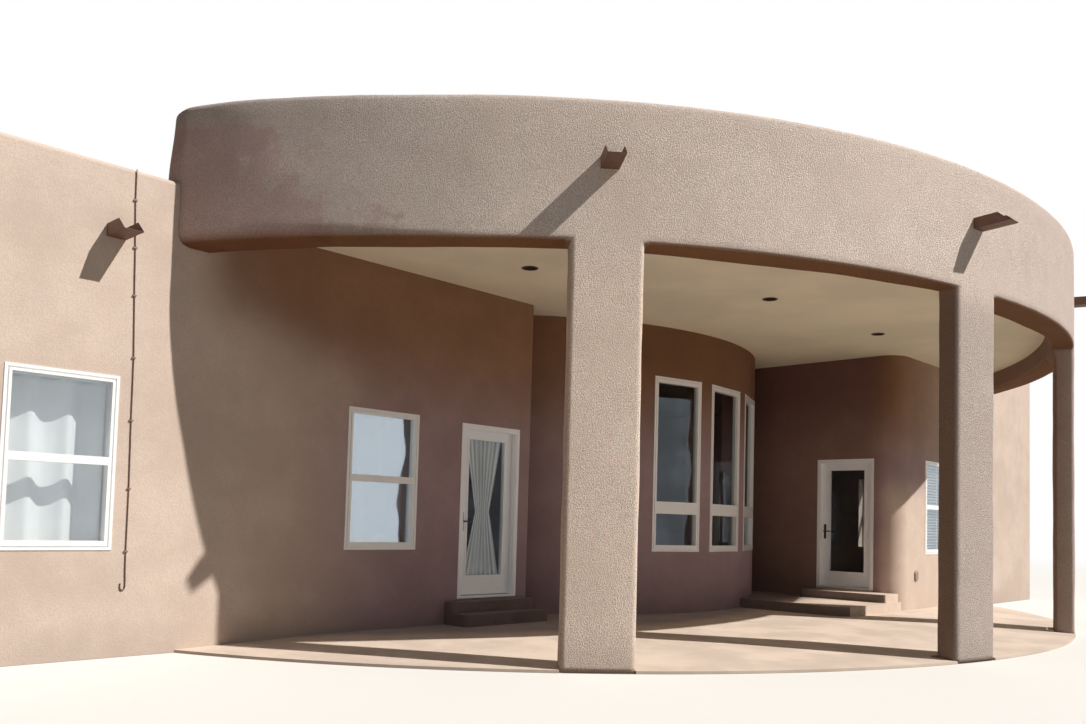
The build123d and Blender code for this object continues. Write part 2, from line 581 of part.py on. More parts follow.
def sheer(y_half, x, count, z0, z1, tie_z, tie_half):
    faces = []
    for z, half in ((z0, y_half), (tie_z, tie_half), (z1, y_half)):
        size = half / y_half
        front = []
        for i in range(2 * count + 1):
            y = -half + half * i / count
            front.append((x - (SHEER_PLEAT * size if i % 2 else 0.0), y))
        back = [(px - CLOTH_THICK * size, py) for px, py in reversed(front)]
        faces.append(Pos(0, 0, z) * make_face(Polyline(*front, *back, close=True)))
    return loft(faces, ruled=True)


drapes = []
rails = []
for y0, y1 in (WINDOW_1, WINDOW_2):
    drapes.append(
        pleats(
            y0 + DRAPE_SIDE_GAP, y1 - DRAPE_SIDE_GAP, FRONT_IN - DRAPE_PLEAT / 2, DRAPE_WAVES,
            FRONT_SILL + 12, FRONT_HEAD - 50, DRAPE_PLEAT,
        )
    )
    rails.append(block(FRONT_IN + 2, FRONT_IN + 28, y0, y1, FRONT_HEAD - 50, FRONT_HEAD - 26))
window_curtains = compound(drapes)
curtain_rails = compound(rails)
sheer_z = (PANE_BOTTOM - 15, PANE_TOP + 15)
door_sheer = sheer(half_pane - 10, LEAF_BACK - BEAD_PROUD - 3, 12, *sheer_z, SHEER_TIE_Z, SHEER_TIE_HALF)
sheer_rods = [
    block(LEAF_BACK - 26, LEAF_BACK, -half_pane - 20, half_pane + 20, z, z + 8)
    for z in (sheer_z[0] - 8, sheer_z[1])
]
door_1_curtain_rods = compound([door_1_place * rod for rod in sheer_rods])


def blind(width):
    solids = [block(-160, -112, -width / 2, width / 2, FRONT_H - 44, FRONT_H)]
    count = int((FRONT_H - 60) / SLAT_PITCH)
    for i in range(count):
        z = FRONT_H - 60 - SLAT_PITCH * (i + 0.5)
        slat = Rot(0, -SLAT_TILT, 0) * Box(SLAT_DEPTH, width - 20, SLAT_THICK)
        solids.append(Pos(-136, 0, z) * slat)
    tilt = radians(SLAT_TILT)
    edge_x = -136 + SLAT_DEPTH / 2 * cos(tilt) + SLAT_THICK / 2 * sin(tilt)
    for y in (-width * 0.32, width * 0.32):
        solids.append(block(edge_x, edge_x + 1, y - 9, y + 9, z - 20, FRONT_H - 44))
    return solids


blinds = []
for place, name in (plain_places[0], plain_places[8]):
    blinds += [place * solid for solid in blind(PLAIN_WIDTH)]
window_blinds = compound(blinds)

# Recessed ceiling lights
def lamp_ring(radius, z0, z1, x, y):
    return Pos(x, y, z0) * extrude(RegularPolygon(radius, 24), z1 - z0)


lights = []
for x, y in LIGHTS:
    can = lamp_ring(LIGHT_R, CEILING_BOTTOM, MAIN_CEILING - 5, x, y) + lamp_ring(
        LIGHT_R + 18, CEILING_BOTTOM - 6, CEILING_BOTTOM, x, y
    )
    can -= lamp_ring(LIGHT_R - 5, CEILING_BOTTOM - 10, CEILING_BOTTOM + 60, x, y)
    lights.append(can)
ceiling_lights = compound(lights)

# Cable with its clips, and the cover of an outside socket
cable_points = [Vector(FRONT_X + CABLE_OFF, y, z) for y, z in CABLE]
cable_radii = []
for before, here, after in zip(cable_points[:-2], cable_points[1:-1], cable_points[2:]):
    turn = (here - before).get_angle(after - here)
    shorter = min((here - before).length, (after - here).length)
    cable_radii.append(min(CLIP_BEND, 0.45 * shorter / tan(radians(turn / 2))))
print("cable radii", [round(r) for r in cable_radii])
cable_path = FilletPolyline(*cable_points, radius=cable_radii)
cable_start = cable_path ^ 0
wall_cable = sweep(cable_start * RegularPolygon(CABLE_R, 8), path=cable_path)
clip_hole = sweep(cable_start * RegularPolygon(CABLE_R + 0.3, 8), path=cable_path)
clips = []
for y, z in CLIPS:
    clip = block(
        FRONT_X, FRONT_X + CLIP_SIZE[0], y - CLIP_SIZE[1] / 2, y + CLIP_SIZE[1] / 2, z - CLIP_SIZE[2] / 2,
        z + CLIP_SIZE[2] / 2,
    )
    clips.append(clip - clip_hole)
cable_clips = compound(clips)
cover_y, cover_z, cover_w, cover_h, cover_t = OUTLET
cover = block(
    SIDE_X, SIDE_X + cover_t, cover_y - cover_w / 2, cover_y + cover_w / 2, cover_z - cover_h / 2,
    cover_z + cover_h / 2,
)
cover = chamfer(cover.edges().filter_by(Axis.X), cover_w * 0.28)
outlet_cover = chamfer(cover.faces().sort_by(Axis.X)[-1].edges(), 5)

nodes = {
    "front_wall_low": front_wall_low,
    "front_wall_high": front_wall_high,
    "front_wall_over_door": front_wall_over_door,
    "wing_corner_wall": wing_corner_wall,
    "roof_step_wall": roof_step_wall,
    "round_wall_lower": round_wall_lower,
    "round_wall_piers": round_wall_piers,
    "round_wall_upper": round_wall_upper,
    "entry_wall_left": entry_wall_left,
    "entry_wall_over_door": entry_wall_over_door,
    "side_wall": side_wall,
    "right_end_wall": right_end_wall,
    "rear_wall_high": rear_wall_high,
    "rear_wall_low": rear_wall_low,
    "left_end_wall": left_end_wall,
    "porch_beam_1": beams[0],
    "porch_beam_2": beams[1],
    "porch_beam_3": beams[2],
    "porch_beam_4": beams[3],
    "porch_column_1": columns[0],
    "porch_column_2": columns[1],
    "porch_column_3": columns[2],
    "left_wing_floor": left_wing_floor,
    "main_floor": main_floor,
    "porch_floor": porch_floor,
    "left_wing_roof": left_wing_roof,
    "main_roof": main_roof,
    "porch_roof": porch_roof,
    "porch_ceiling": porch_ceiling,
    "door_1_steps": door_1_steps,
    "door_2_steps": door_2_steps,
    "front_window_frames": front_window_frames,
    "plain_window_frames": plain_window_frames,
    "bay_window_frames": bay_window_frames,
    "window_glass": window_glass,
    "bay_window_glass": bay_window_glass,
    "door_1_frame": door_1_place * frame,
    "door_1_leaf": door_1_place * leaf,
    "door_1_glass": door_1_place * pane,
    "door_1_handle_plates": door_1_place * plates,
    "door_1_lever": door_1_place * lever,
    "door_1_curtain": door_1_place * door_sheer,
    "door_1_curtain_rods": door_1_curtain_rods,
    "door_2_frame": door_2_place * frame,
    "door_2_leaf": door_2_place * leaf,
    "door_2_glass": door_2_place * pane,
    "door_2_handle_plates": door_2_place * plates,
    "door_2_lever": door_2_place * lever,
    "wall_canale": wall_canale,
    "porch_canales": porch_canales,
    "window_curtains": window_curtains,
    "curtain_rails": curtain_rails,
    "window_blinds": window_blinds,
    "ceiling_lights": ceiling_lights,
    "outlet_cover": outlet_cover,
    "wall_cable": wall_cable,
    "cable_clips": cable_clips,
}

os.makedirs("parts", exist_ok=True)
for name, shape in nodes.items():
    solids = shape.solids()
    result = solids[0] if len(solids) == 1 else Compound(children=list(solids))
    export_step(result, f"parts/{name}.step")
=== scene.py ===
import json
import math

import bmesh
import bpy
from mathutils import Matrix, Vector, noise

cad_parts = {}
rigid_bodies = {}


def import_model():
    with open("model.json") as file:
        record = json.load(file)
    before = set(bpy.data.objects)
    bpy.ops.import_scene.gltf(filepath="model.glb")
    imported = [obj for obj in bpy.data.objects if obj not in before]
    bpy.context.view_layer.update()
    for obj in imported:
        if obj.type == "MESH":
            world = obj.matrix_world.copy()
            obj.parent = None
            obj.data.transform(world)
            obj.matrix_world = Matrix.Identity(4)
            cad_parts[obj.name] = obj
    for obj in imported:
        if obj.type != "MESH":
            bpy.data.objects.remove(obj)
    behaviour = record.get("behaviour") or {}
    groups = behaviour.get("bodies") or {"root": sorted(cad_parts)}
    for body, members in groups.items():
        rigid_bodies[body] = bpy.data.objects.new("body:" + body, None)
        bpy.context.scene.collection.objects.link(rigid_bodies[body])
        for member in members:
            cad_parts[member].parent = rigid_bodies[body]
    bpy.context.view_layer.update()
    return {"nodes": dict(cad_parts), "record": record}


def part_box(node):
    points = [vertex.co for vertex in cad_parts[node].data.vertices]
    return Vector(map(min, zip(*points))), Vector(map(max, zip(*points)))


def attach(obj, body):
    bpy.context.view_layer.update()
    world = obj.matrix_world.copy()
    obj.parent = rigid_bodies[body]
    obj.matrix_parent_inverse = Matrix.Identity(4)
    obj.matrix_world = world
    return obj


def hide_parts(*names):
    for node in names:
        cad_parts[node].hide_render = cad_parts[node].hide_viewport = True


bl_info = {
    "name": "Stucco house",
    "version": (1, 0, 0),
    "blender": (4, 5, 0),
    "location": "View3D > Sidebar > House",
    "description": "Finishes and pieces of a stucco house with a curved porch",
    "category": "Object",
}

for leftover in list(bpy.data.objects):
    bpy.data.objects.remove(leftover)
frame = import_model()


# ---------------------------------------------------------------- measures

def from_display(red, green, blue):
    """A colour as a screen shows it, 0 to 255, as the linear colour that materials use."""
    parts = [value / 255 for value in (red, green, blue)]
    return tuple(p / 12.92 if p <= 0.04045 else ((p + 0.055) / 1.055) ** 2.4 for p in parts)


def turned(radius, degrees, height):
    """A point on a circle about the centre of the round room."""
    angle = math.radians(degrees)
    return Vector((radius * math.cos(angle), radius * math.sin(angle), height))


RING_LOW, RING_HIGH = (corner.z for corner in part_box("porch_beam_3"))
RING_START, RING_FINISH = -71.0, 50.5  # degrees, with both ends inside the walls
RING_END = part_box("front_wall_high")[0].x + 0.006
FINE_STRETCH, FINE_GRID = 4.6, 0.018  # degrees and metres, by the low wing's wall
WALL_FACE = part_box("front_wall_over_door")[1].x
SIDE_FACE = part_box("side_wall")[1].x
WING_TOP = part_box("front_wall_low")[1].z
COLUMN_MIDDLES = (-40.9, -12.0, 16.9)
TOWARDS_LAMP = Vector((0.627, 0.348, 0.697))
SUNNY_SIDE = Vector((0.87, 0.48, 0))


# -------------------------------------------------------------- properties

class HouseSizes(bpy.types.PropertyGroup):
    """Sizes of the pieces that are made here."""

    ring_radius: bpy.props.FloatProperty(
        name="Ring radius", description="Outer radius of the porch ring", default=8.4,
        min=2.0, max=30.0, unit="LENGTH")
    ring_thickness: bpy.props.FloatProperty(
        name="Ring thickness", description="From the ring's outer face to its inner face",
        default=0.34, min=0.1, max=1.0, unit="LENGTH")
    ring_end_rounding: bpy.props.FloatProperty(
        name="End rounding", description="Rounding of the ring's upright end over the low wing",
        default=0.13, min=0.0, max=0.3, unit="LENGTH")
    ring_end_flare: bpy.props.FloatProperty(
        name="End flare", description="How far the ring swells by the low wing's wall",
        default=0.16, min=0.0, max=0.3, unit="LENGTH")
    ring_end_bend: bpy.props.FloatProperty(
        name="End bend", description="Rounding of the ring's lower edge by the low wing",
        default=0.12, min=0.0, max=0.3, unit="LENGTH")
    ring_top_rounding: bpy.props.FloatProperty(
        name="Top rounding", description="Rounding of the ring's top edges", default=0.062,
        min=0.0, max=0.15, unit="LENGTH")
    column_width: bpy.props.FloatProperty(
        name="Column width", description="Angle that a column takes of the ring",
        default=math.radians(4.6), min=0.01, max=0.3, unit="ROTATION", subtype="ANGLE")
    column_slimming: bpy.props.FloatProperty(
        name="Column slimming", default=0.10, min=0.0, max=0.2, unit="LENGTH",
        description="How far the columns' inner faces lie outside the ring's")
    column_rounding: bpy.props.FloatProperty(
        name="Column rounding", description="Rounding of the columns' edges", default=0.045,
        min=0.0, max=0.15, unit="LENGTH")
    waviness: bpy.props.FloatProperty(
        name="Waviness", description="How far the trowelled faces wander", default=0.016,
        min=0.0, max=0.03, unit="LENGTH")
    grid: bpy.props.FloatProperty(
        name="Grid", description="Spacing of the stucco faces' grid", default=0.055,
        min=0.02, max=0.5, unit="LENGTH")
    pleat_depth: bpy.props.FloatProperty(
        name="Pleat depth", description="Depth of the drapes' pleats", default=0.09,
        min=0.005, max=0.2, unit="LENGTH")
    cloth_thickness: bpy.props.FloatProperty(
        name="Cloth thickness", description="Thickness of the drapes and the sheer",
        default=0.0012, min=0.0005, max=0.01, unit="LENGTH")


class HouseColours(bpy.types.PropertyGroup):
    """Colours of the finishes."""

    stucco: bpy.props.FloatVectorProperty(
        name="Stucco", description="Smooth wall stucco", subtype="COLOR", size=3,
        default=from_display(214, 195, 180), min=0.0, max=1.0)
    dash: bpy.props.FloatVectorProperty(
        name="Dash stucco", description="Coarse stucco of the ring and the columns",
        subtype="COLOR", size=3, default=from_display(212, 198, 187), min=0.0, max=1.0)
    slab: bpy.props.FloatVectorProperty(
        name="Slab", description="Porch slab and steps", subtype="COLOR", size=3,
        default=from_display(224, 205, 188), min=0.0, max=1.0)
    plaster: bpy.props.FloatVectorProperty(
        name="Ceiling", description="Porch ceiling", subtype="COLOR", size=3,
        default=from_display(245, 235, 218), min=0.0, max=1.0)
    roofing: bpy.props.FloatVectorProperty(
        name="Roofing", description="Mineral roofing sheet", subtype="COLOR", size=3,
        default=from_display(176, 170, 160), min=0.0, max=1.0)
    frames: bpy.props.FloatVectorProperty(
        name="Window frames", description="Window frames", subtype="COLOR", size=3,
        default=from_display(249, 249, 248), min=0.0, max=1.0)
    # The doors' white leans a little blue: painted cool shade light under the porch.
    doors: bpy.props.FloatVectorProperty(
        name="Doors", description="Painted doors and their frames", subtype="COLOR", size=3,
        default=from_display(246, 249, 253), min=0.0, max=1.0)
    sheet_metal: bpy.props.FloatVectorProperty(
        name="Spouts", description="Painted folded sheet of the roof spouts", subtype="COLOR",
        size=3, default=from_display(104, 72, 58), min=0.0, max=1.0)
    cloth: bpy.props.FloatVectorProperty(
        name="Cloth", description="Drapes and the door's sheer", subtype="COLOR", size=3,
        default=from_display(248, 250, 252), min=0.0, max=1.0)


class StageSettings(bpy.types.PropertyGroup):
    """Camera, lamps and floor."""

    lens: bpy.props.FloatProperty(
        name="Lens", description="Focal length of the camera in millimetres", default=31.41,
        min=5.0, max=300.0)
    lamp_strength: bpy.props.FloatProperty(
        name="Lamp strength", description="Strength of the main lamp", default=4.4,
        min=0.0, max=20.0)
    lamp_softness: bpy.props.FloatProperty(
        name="Lamp softness", description="Angle over which the main lamp spreads",
        default=math.radians(0.8), min=0.0, max=1.0, unit="ROTATION", subtype="ANGLE")
    fill: bpy.props.FloatProperty(
        name="Fill", description="Strength of the light from all around", default=0.15,
        min=0.0, max=5.0)
    floor: bpy.props.FloatVectorProperty(
        name="Floor", description="Colour of the plain floor", subtype="COLOR", size=3,
        default=from_display(236, 233, 228), min=0.0, max=1.0)
    floor_return: bpy.props.FloatVectorProperty(
        name="Floor return", description="Colour of the light that the floor throws back",
        subtype="COLOR", size=3, default=(0.30, 0.27, 0.24), min=0.0, max=1.0)


# --------------------------------------------------------------- finishes

class Value:
    """A socket of a material, for use in sums. Each operator adds a Math node."""

    def __init__(self, finish, socket):
        self.finish = finish
        self.socket = socket

    def worked(self, operation, *parts):
        return self.finish.add("ShaderNodeMath", {"operation": operation}, dict(enumerate(parts)))

    def __add__(self, other):
        return self.worked("ADD", self, other)

    def __radd__(self, other):
        return self.worked("ADD", other, self)

    def __sub__(self, other):
        return self.worked("SUBTRACT", self, other)

    def __rsub__(self, other):
        return self.worked("SUBTRACT", other, self)

    def __mul__(self, other):
        return self.worked("MULTIPLY", self, other)

    def __rmul__(self, other):
        return self.worked("MULTIPLY", other, self)

    def __truediv__(self, other):
        return self.worked("DIVIDE", self, other)

    def __pow__(self, other):
        return self.worked("POWER", self, other)


class Nodes:
    """A tree of shader nodes."""

    def __init__(self, tree):
        self.tree = tree

    def set(self, node, sockets):
        for key, value in sockets.items():
            name = key.replace("_", " ") if isinstance(key, str) else key
            socket = node.inputs[name]
            if isinstance(value, Value):
                self.tree.links.new(value.socket, socket)
            elif isinstance(value, (tuple, list)) and socket.type == "RGBA" and len(value) == 3:
                socket.default_value = (*value, 1.0)
            else:
                socket.default_value = value

    def add(self, kind, settings=None, sockets=None, out=0):
        """Adds a node, gives it its settings and then its sockets, and returns one output."""
        node = self.tree.nodes.new(kind)
        for key, value in (settings or {}).items():
            setattr(node, key, value)
        self.set(node, sockets or {})
        return Value(self, node.outputs[out])

    def either(self, first, second):
        """1 where one of two marks is 1."""
        return self.add("ShaderNodeMath", {"operation": "MAXIMUM"}, {0: first, 1: second})

    def ray(self, *kinds):
        """1 for rays of the kinds that are named."""
        seen = [self.add("ShaderNodeLightPath", out=f"Is {kind} Ray") for kind in kinds]
        mark = seen[0]
        for other in seen[1:]:
            mark = self.either(mark, other)
        return mark


class Finish(Nodes):
    """A material: its shader, and the nodes that feed it."""

    def __init__(self, name, **sockets):
        self.material = bpy.data.materials.new(name)
        self.material.use_nodes = True
        super().__init__(self.material.node_tree)
        self.shader = self.tree.nodes["Principled BSDF"]
        self.output = self.tree.nodes["Material Output"]
        self.set(self.shader, sockets)

    def place(self):
        """Object coordinates, in metres."""
        return self.add("ShaderNodeTexCoord", out="Object")

    def stretched(self, place, scale):
        return self.add("ShaderNodeMapping", None, {"Vector": place, "Scale": scale})

    def cloud(self, place, scale, detail=2.0, roughness=0.5):
        """Smooth noise from 0 to 1, of scale lumps to the metre."""
        return self.add("ShaderNodeTexNoise", None, {
            "Vector": place, "Scale": scale, "Detail": detail, "Roughness": roughness})

    def between(self, value, low, high):
        """0 at low and below, 1 at high and above, smooth between."""
        return self.add("ShaderNodeMapRange", {"interpolation_type": "SMOOTHSTEP"}, {
            "Value": value, "From Min": low, "From Max": high})

    def mixed(self, factor, first, second, way="MIX"):
        return self.add("ShaderNodeMix", {"data_type": "RGBA", "blend_type": way}, {
            0: factor, 6: first, 7: second}, out=2)

    def times(self, first, second):
        """Two colours multiplied."""
        return self.mixed(1.0, first, second, "MULTIPLY")

    def relief(self, height, distance, strength=1.0):
        return self.add("ShaderNodeBump", None, {
            "Height": height, "Distance": distance, "Strength": strength})

    def part(self, place, axis):
        """One coordinate of a place: 0 is x, 1 is y, 2 is z."""
        return self.add("ShaderNodeSeparateXYZ", None, {0: place}, out=axis)

    def parts(self, place):
        return [self.part(place, axis) for axis in range(3)]

    def away(self, place):
        """How far a place lies from the upright axis of the round room."""
        level = self.add("ShaderNodeVectorMath", {"operation": "MULTIPLY"},
                         {0: place, 1: (1, 1, 0)})
        return self.add("ShaderNodeVectorMath", {"operation": "LENGTH"}, {0: level}, out="Value")


def scaled(colour, amount):
    return tuple(min(1.0, part * amount) for part in colour)


def painted_porch_shade(finish, place):
    """1 on the walls under the porch, which are painted in shade, and 0 on the others; less on the
    side wall's sunlit foot, and the most up by the ceiling.
    """
    ahead, along, height = finish.parts(place)
    by_beam = finish.between(height, 2.6, 3.75) * (1.0 - finish.between(along, -2.0, 2.0))
    near = finish.away(place) - by_beam * 1.6
    inside = (1.0 - finish.between(near, 5.9, 7.9)) * finish.between(along, -7.8, -7.3)
    inside = inside * (1.0 - finish.between(height, 4.2, 4.4))
    sunny = finish.between(ahead, 5.1, 5.42) * (1.0 - finish.between(height, 1.7, 2.3))
    deeper = 0.82 + finish.between(height, 2.2, 3.8) * 0.18
    return inside * finish.between(ahead, 0.5, 1.8) * (1.0 - sunny) * deeper


def painted_shade_tones(finish, place):
    """Colours of the painted shade on the stucco under the porch: cooler low down, browner above
    and by the second door.
    """
    ahead, along, height = finish.parts(place)
    round_room = finish.between(along, -3.3, -1.5) * (1.0 - finish.between(along, 2.6, 3.0))
    above = finish.mixed(round_room, (0.46, 0.32, 0.24), (0.32, 0.20, 0.13))
    tone = finish.mixed(finish.between(height, 2.0, 3.4), (0.53, 0.46, 0.66), above)
    entry = finish.between(along, 2.3, 2.68) * (1.0 - finish.between(ahead, 4.9, 5.35))
    return finish.mixed(entry, tone, (0.28, 0.18, 0.19))


def stucco_finish(name, colour, grain, lump, depth, shade=None):
    """Sand stucco: grain in colour and relief, trowel clouds, dust at the foot, and painted shade.
    """
    finish = Finish(name, Roughness=0.95, Specular_IOR_Level=0.2)
    place = finish.place()
    fine = finish.cloud(place, 120.0, 2.0, 0.7)
    lumps = finish.cloud(place, lump, 3.0, 0.65)
    trowel = finish.cloud(place, 1.9, 4.0, 0.6)
    broad = finish.cloud(finish.stretched(place, (0.5, 0.5, 1.3)), 1.0, 2.0, 0.5)
    rough = finish.between(trowel * 0.5 + broad * 0.5, 0.36, 0.58) * 0.45 + 0.55
    speckle = finish.between(fine * 0.3 + lumps * 0.7, 0.41, 0.60)
    light = 1.0 + (speckle - 0.5) * rough * (2.0 * grain)
    patch = finish.between(trowel * 0.55 + broad * 0.45, 0.36, 0.64)
    patched = finish.mixed(patch, (0.90, 0.885, 0.875), (1.05, 1.05, 1.05))
    tone = finish.add("ShaderNodeCombineColor", None, {0: light, 1: light, 2: light})
    toned = finish.times(finish.times(patched, tone), colour)
    # On the ring: painted shade on the faces turned in, turned down and turned away from the
    # light.
    if shade:
        painted_shade_weight, painted_shade_colour = shade(finish), (0.30, 0.17, 0.09)
        coarse = coarse_part(finish, place)
        rough = rough * coarse
        # The smooth lower left end, which faces from the light, is painted in shade with this
        # tint; the less coarse middle takes a little of it.
        toned = finish.times(
            toned, finish.mixed(coarse, (0.83, 0.72, 0.75), painted_ring_light(finish, place)))
    else:
        # On the walls: painted shade under the porch.
        painted_shade_weight, painted_shade_colour = painted_porch_shade(finish, place), painted_shade_tones(finish, place)
    # deep is the painted shade that darkens the stucco's colour.
    deep = finish.mixed(painted_shade_weight, (1.0, 1.0, 1.0), painted_shade_colour)
    height = finish.part(place, 2)
    splash = (1.0 - finish.between(height + trowel * 0.25, 0.10, 0.55)) * 0.25
    finish.set(finish.shader, {
        "Base Color": finish.mixed(splash, finish.times(toned, deep), scaled(colour, 0.6)),
        "Normal": finish.relief((lumps * 0.75 + fine * 0.25 - 0.5) * rough, depth)})
    return finish.material


def turned_away(finish):
    """The ring's painted shade: its own mark of where it faces in, down or away from the midday
    light.
    """
    return finish.add("ShaderNodeAttribute", {"attribute_name": "turned_away"}, out="Fac")


def coarse_part(finish, place):
    """0 on the ring's smooth lower left end and 1 on the rest, with a ragged edge between. It sets
    the relief, and where it is low the colour takes painted shade.
    """
    along, height = finish.part(place, 1), finish.part(place, 2)
    ragged = finish.cloud(place, 2.6, 4.0, 0.65)
    top = finish.between(height, 4.76, 4.98)
    foot = 1.0 - finish.between(height, 3.95, 4.25)
    start = along + 7.42 + top * 0.75 - foot * 0.35 + (ragged - 0.5) * 1.7
    worn = finish.between(along, -3.2, 1.5) * 0.45
    return finish.between(start, -0.14, 0.2) * (1.0 - worn) * 0.9 + 0.1


def painted_ring_light(finish, place):
    """Painted light: lighter the most near the first column, on the ring and down that column."""
    along, height = finish.part(place, 1), finish.part(place, 2)
    painted_lighter = finish.between(along, -7.4, -5.9) * (1.0 - finish.between(along, -3.2, 2.8))
    ring = finish.mixed(painted_lighter, (1.00, 1.00, 1.02), (1.36, 1.34, 1.33))
    column = finish.mixed(
        finish.between(along, -5.0, -2.5), (1.50, 1.42, 1.35), (0.96, 0.95, 0.96))
    return finish.mixed(finish.between(height, 3.4, 3.95), column, ring)


def painted_sun_on_treads(finish, place):
    """Painted sunlight: 1 on the treads and the end of the second door's steps, where the sun
    reaches them.
    """
    ahead, along, height = finish.parts(place)
    offs = [finish.add("ShaderNodeMath", {"operation": "ABSOLUTE"}, {0: height - top})
            for top in (0.21, 0.335)]
    treads = [1.0 - finish.between(off, 0.002, 0.006) for off in offs]
    ends = finish.between(ahead, 5.475, 5.482)
    sunny = finish.between(ahead, 4.0, 4.9) * finish.between(along, 0.0, 0.1)
    return (1.0 - (1.0 - treads[0]) * (1.0 - treads[1]) * (1.0 - ends)) * sunny


def always_shaded(finish, place):
    """1 on the slab near the walls, where the midday sun never comes in under the ring."""
    centred = finish.add("ShaderNodeVectorMath", {"operation": "ADD"},
                         {0: place, 1: (3.43, 1.91, 0.0)})
    return 1.0 - finish.between(finish.away(centred), 7.75, 8.25)


def concrete_finish(name, colour, shaded_steps=False):
    """Broomed concrete with dust, fine pits and darker moist clouds. For the steps, it is painted
    in shade, with painted sunlight on the second door's sunny treads; for the slab, painted shade
    where the midday sun never comes in.
    """
    finish = Finish(name, Roughness=0.9, Specular_IOR_Level=0.3)
    place = finish.place()
    grit = finish.cloud(place, 160.0, 2.0, 0.7)
    broom = finish.cloud(finish.stretched(place, (90.0, 4.0, 40.0)), 1.0, 2.0)
    clouds = finish.cloud(place, 1.4, 4.0, 0.6)
    tone = finish.mixed(
        finish.between(clouds, 0.35, 0.66), scaled(colour, 0.86), scaled(colour, 1.08))
    spotted = finish.mixed(finish.between(grit, 0.35, 0.65) * 0.35, tone, scaled(colour, 0.7))
    # The steps are painted in shade, and their sunny treads and end in painted sunlight.
    if shaded_steps:
        deep = finish.mixed(
            painted_sun_on_treads(finish, place), (0.31, 0.29, 0.32), (0.98, 0.96, 0.94))
    else:
        # The slab is painted in shade near the walls, where the midday sun never comes in under
        # the ring.
        deep = finish.mixed(always_shaded(finish, place), (1.0, 1.0, 1.0), (0.58, 0.60, 0.74))
    spotted = finish.times(spotted, deep)
    finish.set(finish.shader, {
        "Base Color": spotted,
        "Roughness": 0.8 + clouds * 0.15,
        "Normal": finish.relief(grit * 0.5 + broom * 0.5, 0.002, 0.6)})
    return finish.material


def roofing_finish(name, colour):
    """Mineral sheet: pale granules, laps every metre."""
    finish = Finish(name, Roughness=0.95)
    place = finish.place()
    granules = finish.cloud(place, 320.0, 2.0, 0.8)
    clouds = finish.cloud(place, 0.8, 3.0)
    across = finish.part(place, 1)
    lap = finish.add("ShaderNodeMath", {"operation": "PINGPONG"}, {0: across, 1: 0.5})
    seam = 1.0 - finish.between(lap, 0.0, 0.02)
    tone = finish.mixed(
        finish.between(granules, 0.4, 0.6), scaled(colour, 0.82), scaled(colour, 1.1))
    worn = finish.mixed(finish.between(clouds, 0.4, 0.7) * 0.4, tone, scaled(colour, 0.7))
    finish.set(finish.shader, {
        "Base Color": finish.mixed(seam * 0.6, worn, scaled(colour, 0.45)),
        "Normal": finish.relief(granules * 0.3 - seam * 0.7, 0.004, 0.8)})
    return finish.material


def plaster_finish(name, colour):
    """Flat cream ceiling with faint roller marks and clouds."""
    finish = Finish(name, Roughness=0.88)
    place = finish.place()
    fine = finish.cloud(place, 120.0, 2.0)
    clouds = finish.cloud(place, 0.9, 3.0)
    tone = finish.mixed(
        finish.between(clouds, 0.35, 0.65), scaled(colour, 0.93), scaled(colour, 1.03))
    # Paler towards the left of the porch, darker and yellower towards the right.
    left_paler_right_darker = finish.mixed(finish.between(finish.part(place, 1), -3.0, 4.0),
                        (1.05, 1.05, 0.98), (0.84, 0.85, 0.76))
    finish.set(finish.shader, {
        "Base Color": finish.times(tone, left_paler_right_darker),
        "Normal": finish.relief(fine, 0.002, 0.5)})
    return finish.material


def moulded_finish(name, colour, roughness, dust):
    """Moulded or extruded plastic, and satin paint: faint waviness, dust in clouds."""
    finish = Finish(name, Specular_IOR_Level=0.9, Coat_Weight=0.8, Coat_Roughness=0.3)
    place = finish.place()
    clouds = finish.cloud(place, 3.2, 4.0, 0.6)
    fine = finish.cloud(place, 260.0, 2.0)
    soiled = finish.between(clouds, 0.42, 0.72) * dust
    finish.set(finish.shader, {
        "Base Color": finish.mixed(soiled, colour, scaled(colour, 0.72)),
        "Roughness": roughness + clouds * 0.14,
        "Normal": finish.relief(fine, 0.0004, 0.4)})
    return finish.material


def metal_finish(name, colour, roughness, streaks):
    """Painted metal with run-off streaks, worn a little paler."""
    finish = Finish(name, Specular_IOR_Level=0.5, Metallic=0.0)
    place = finish.place()
    run = finish.cloud(finish.stretched(place, (26.0, 26.0, 3.0)), 1.0, 3.0, 0.6)
    clouds = finish.cloud(place, 11.0, 4.0, 0.65)
    fine = finish.cloud(place, 420.0, 2.0)
    faded = finish.mixed(finish.between(clouds, 0.4, 0.7) * 0.5, colour, scaled(colour, 1.5))
    streaked = finish.between(run, 0.5, 0.75) * streaks
    finish.set(finish.shader, {
        "Base Color": finish.mixed(streaked, faded, scaled(colour, 0.45)),
        "Roughness": roughness + clouds * 0.2,
        "Normal": finish.relief(fine * 0.4 + clouds * 0.6, 0.001, 0.5)})
    return finish.material


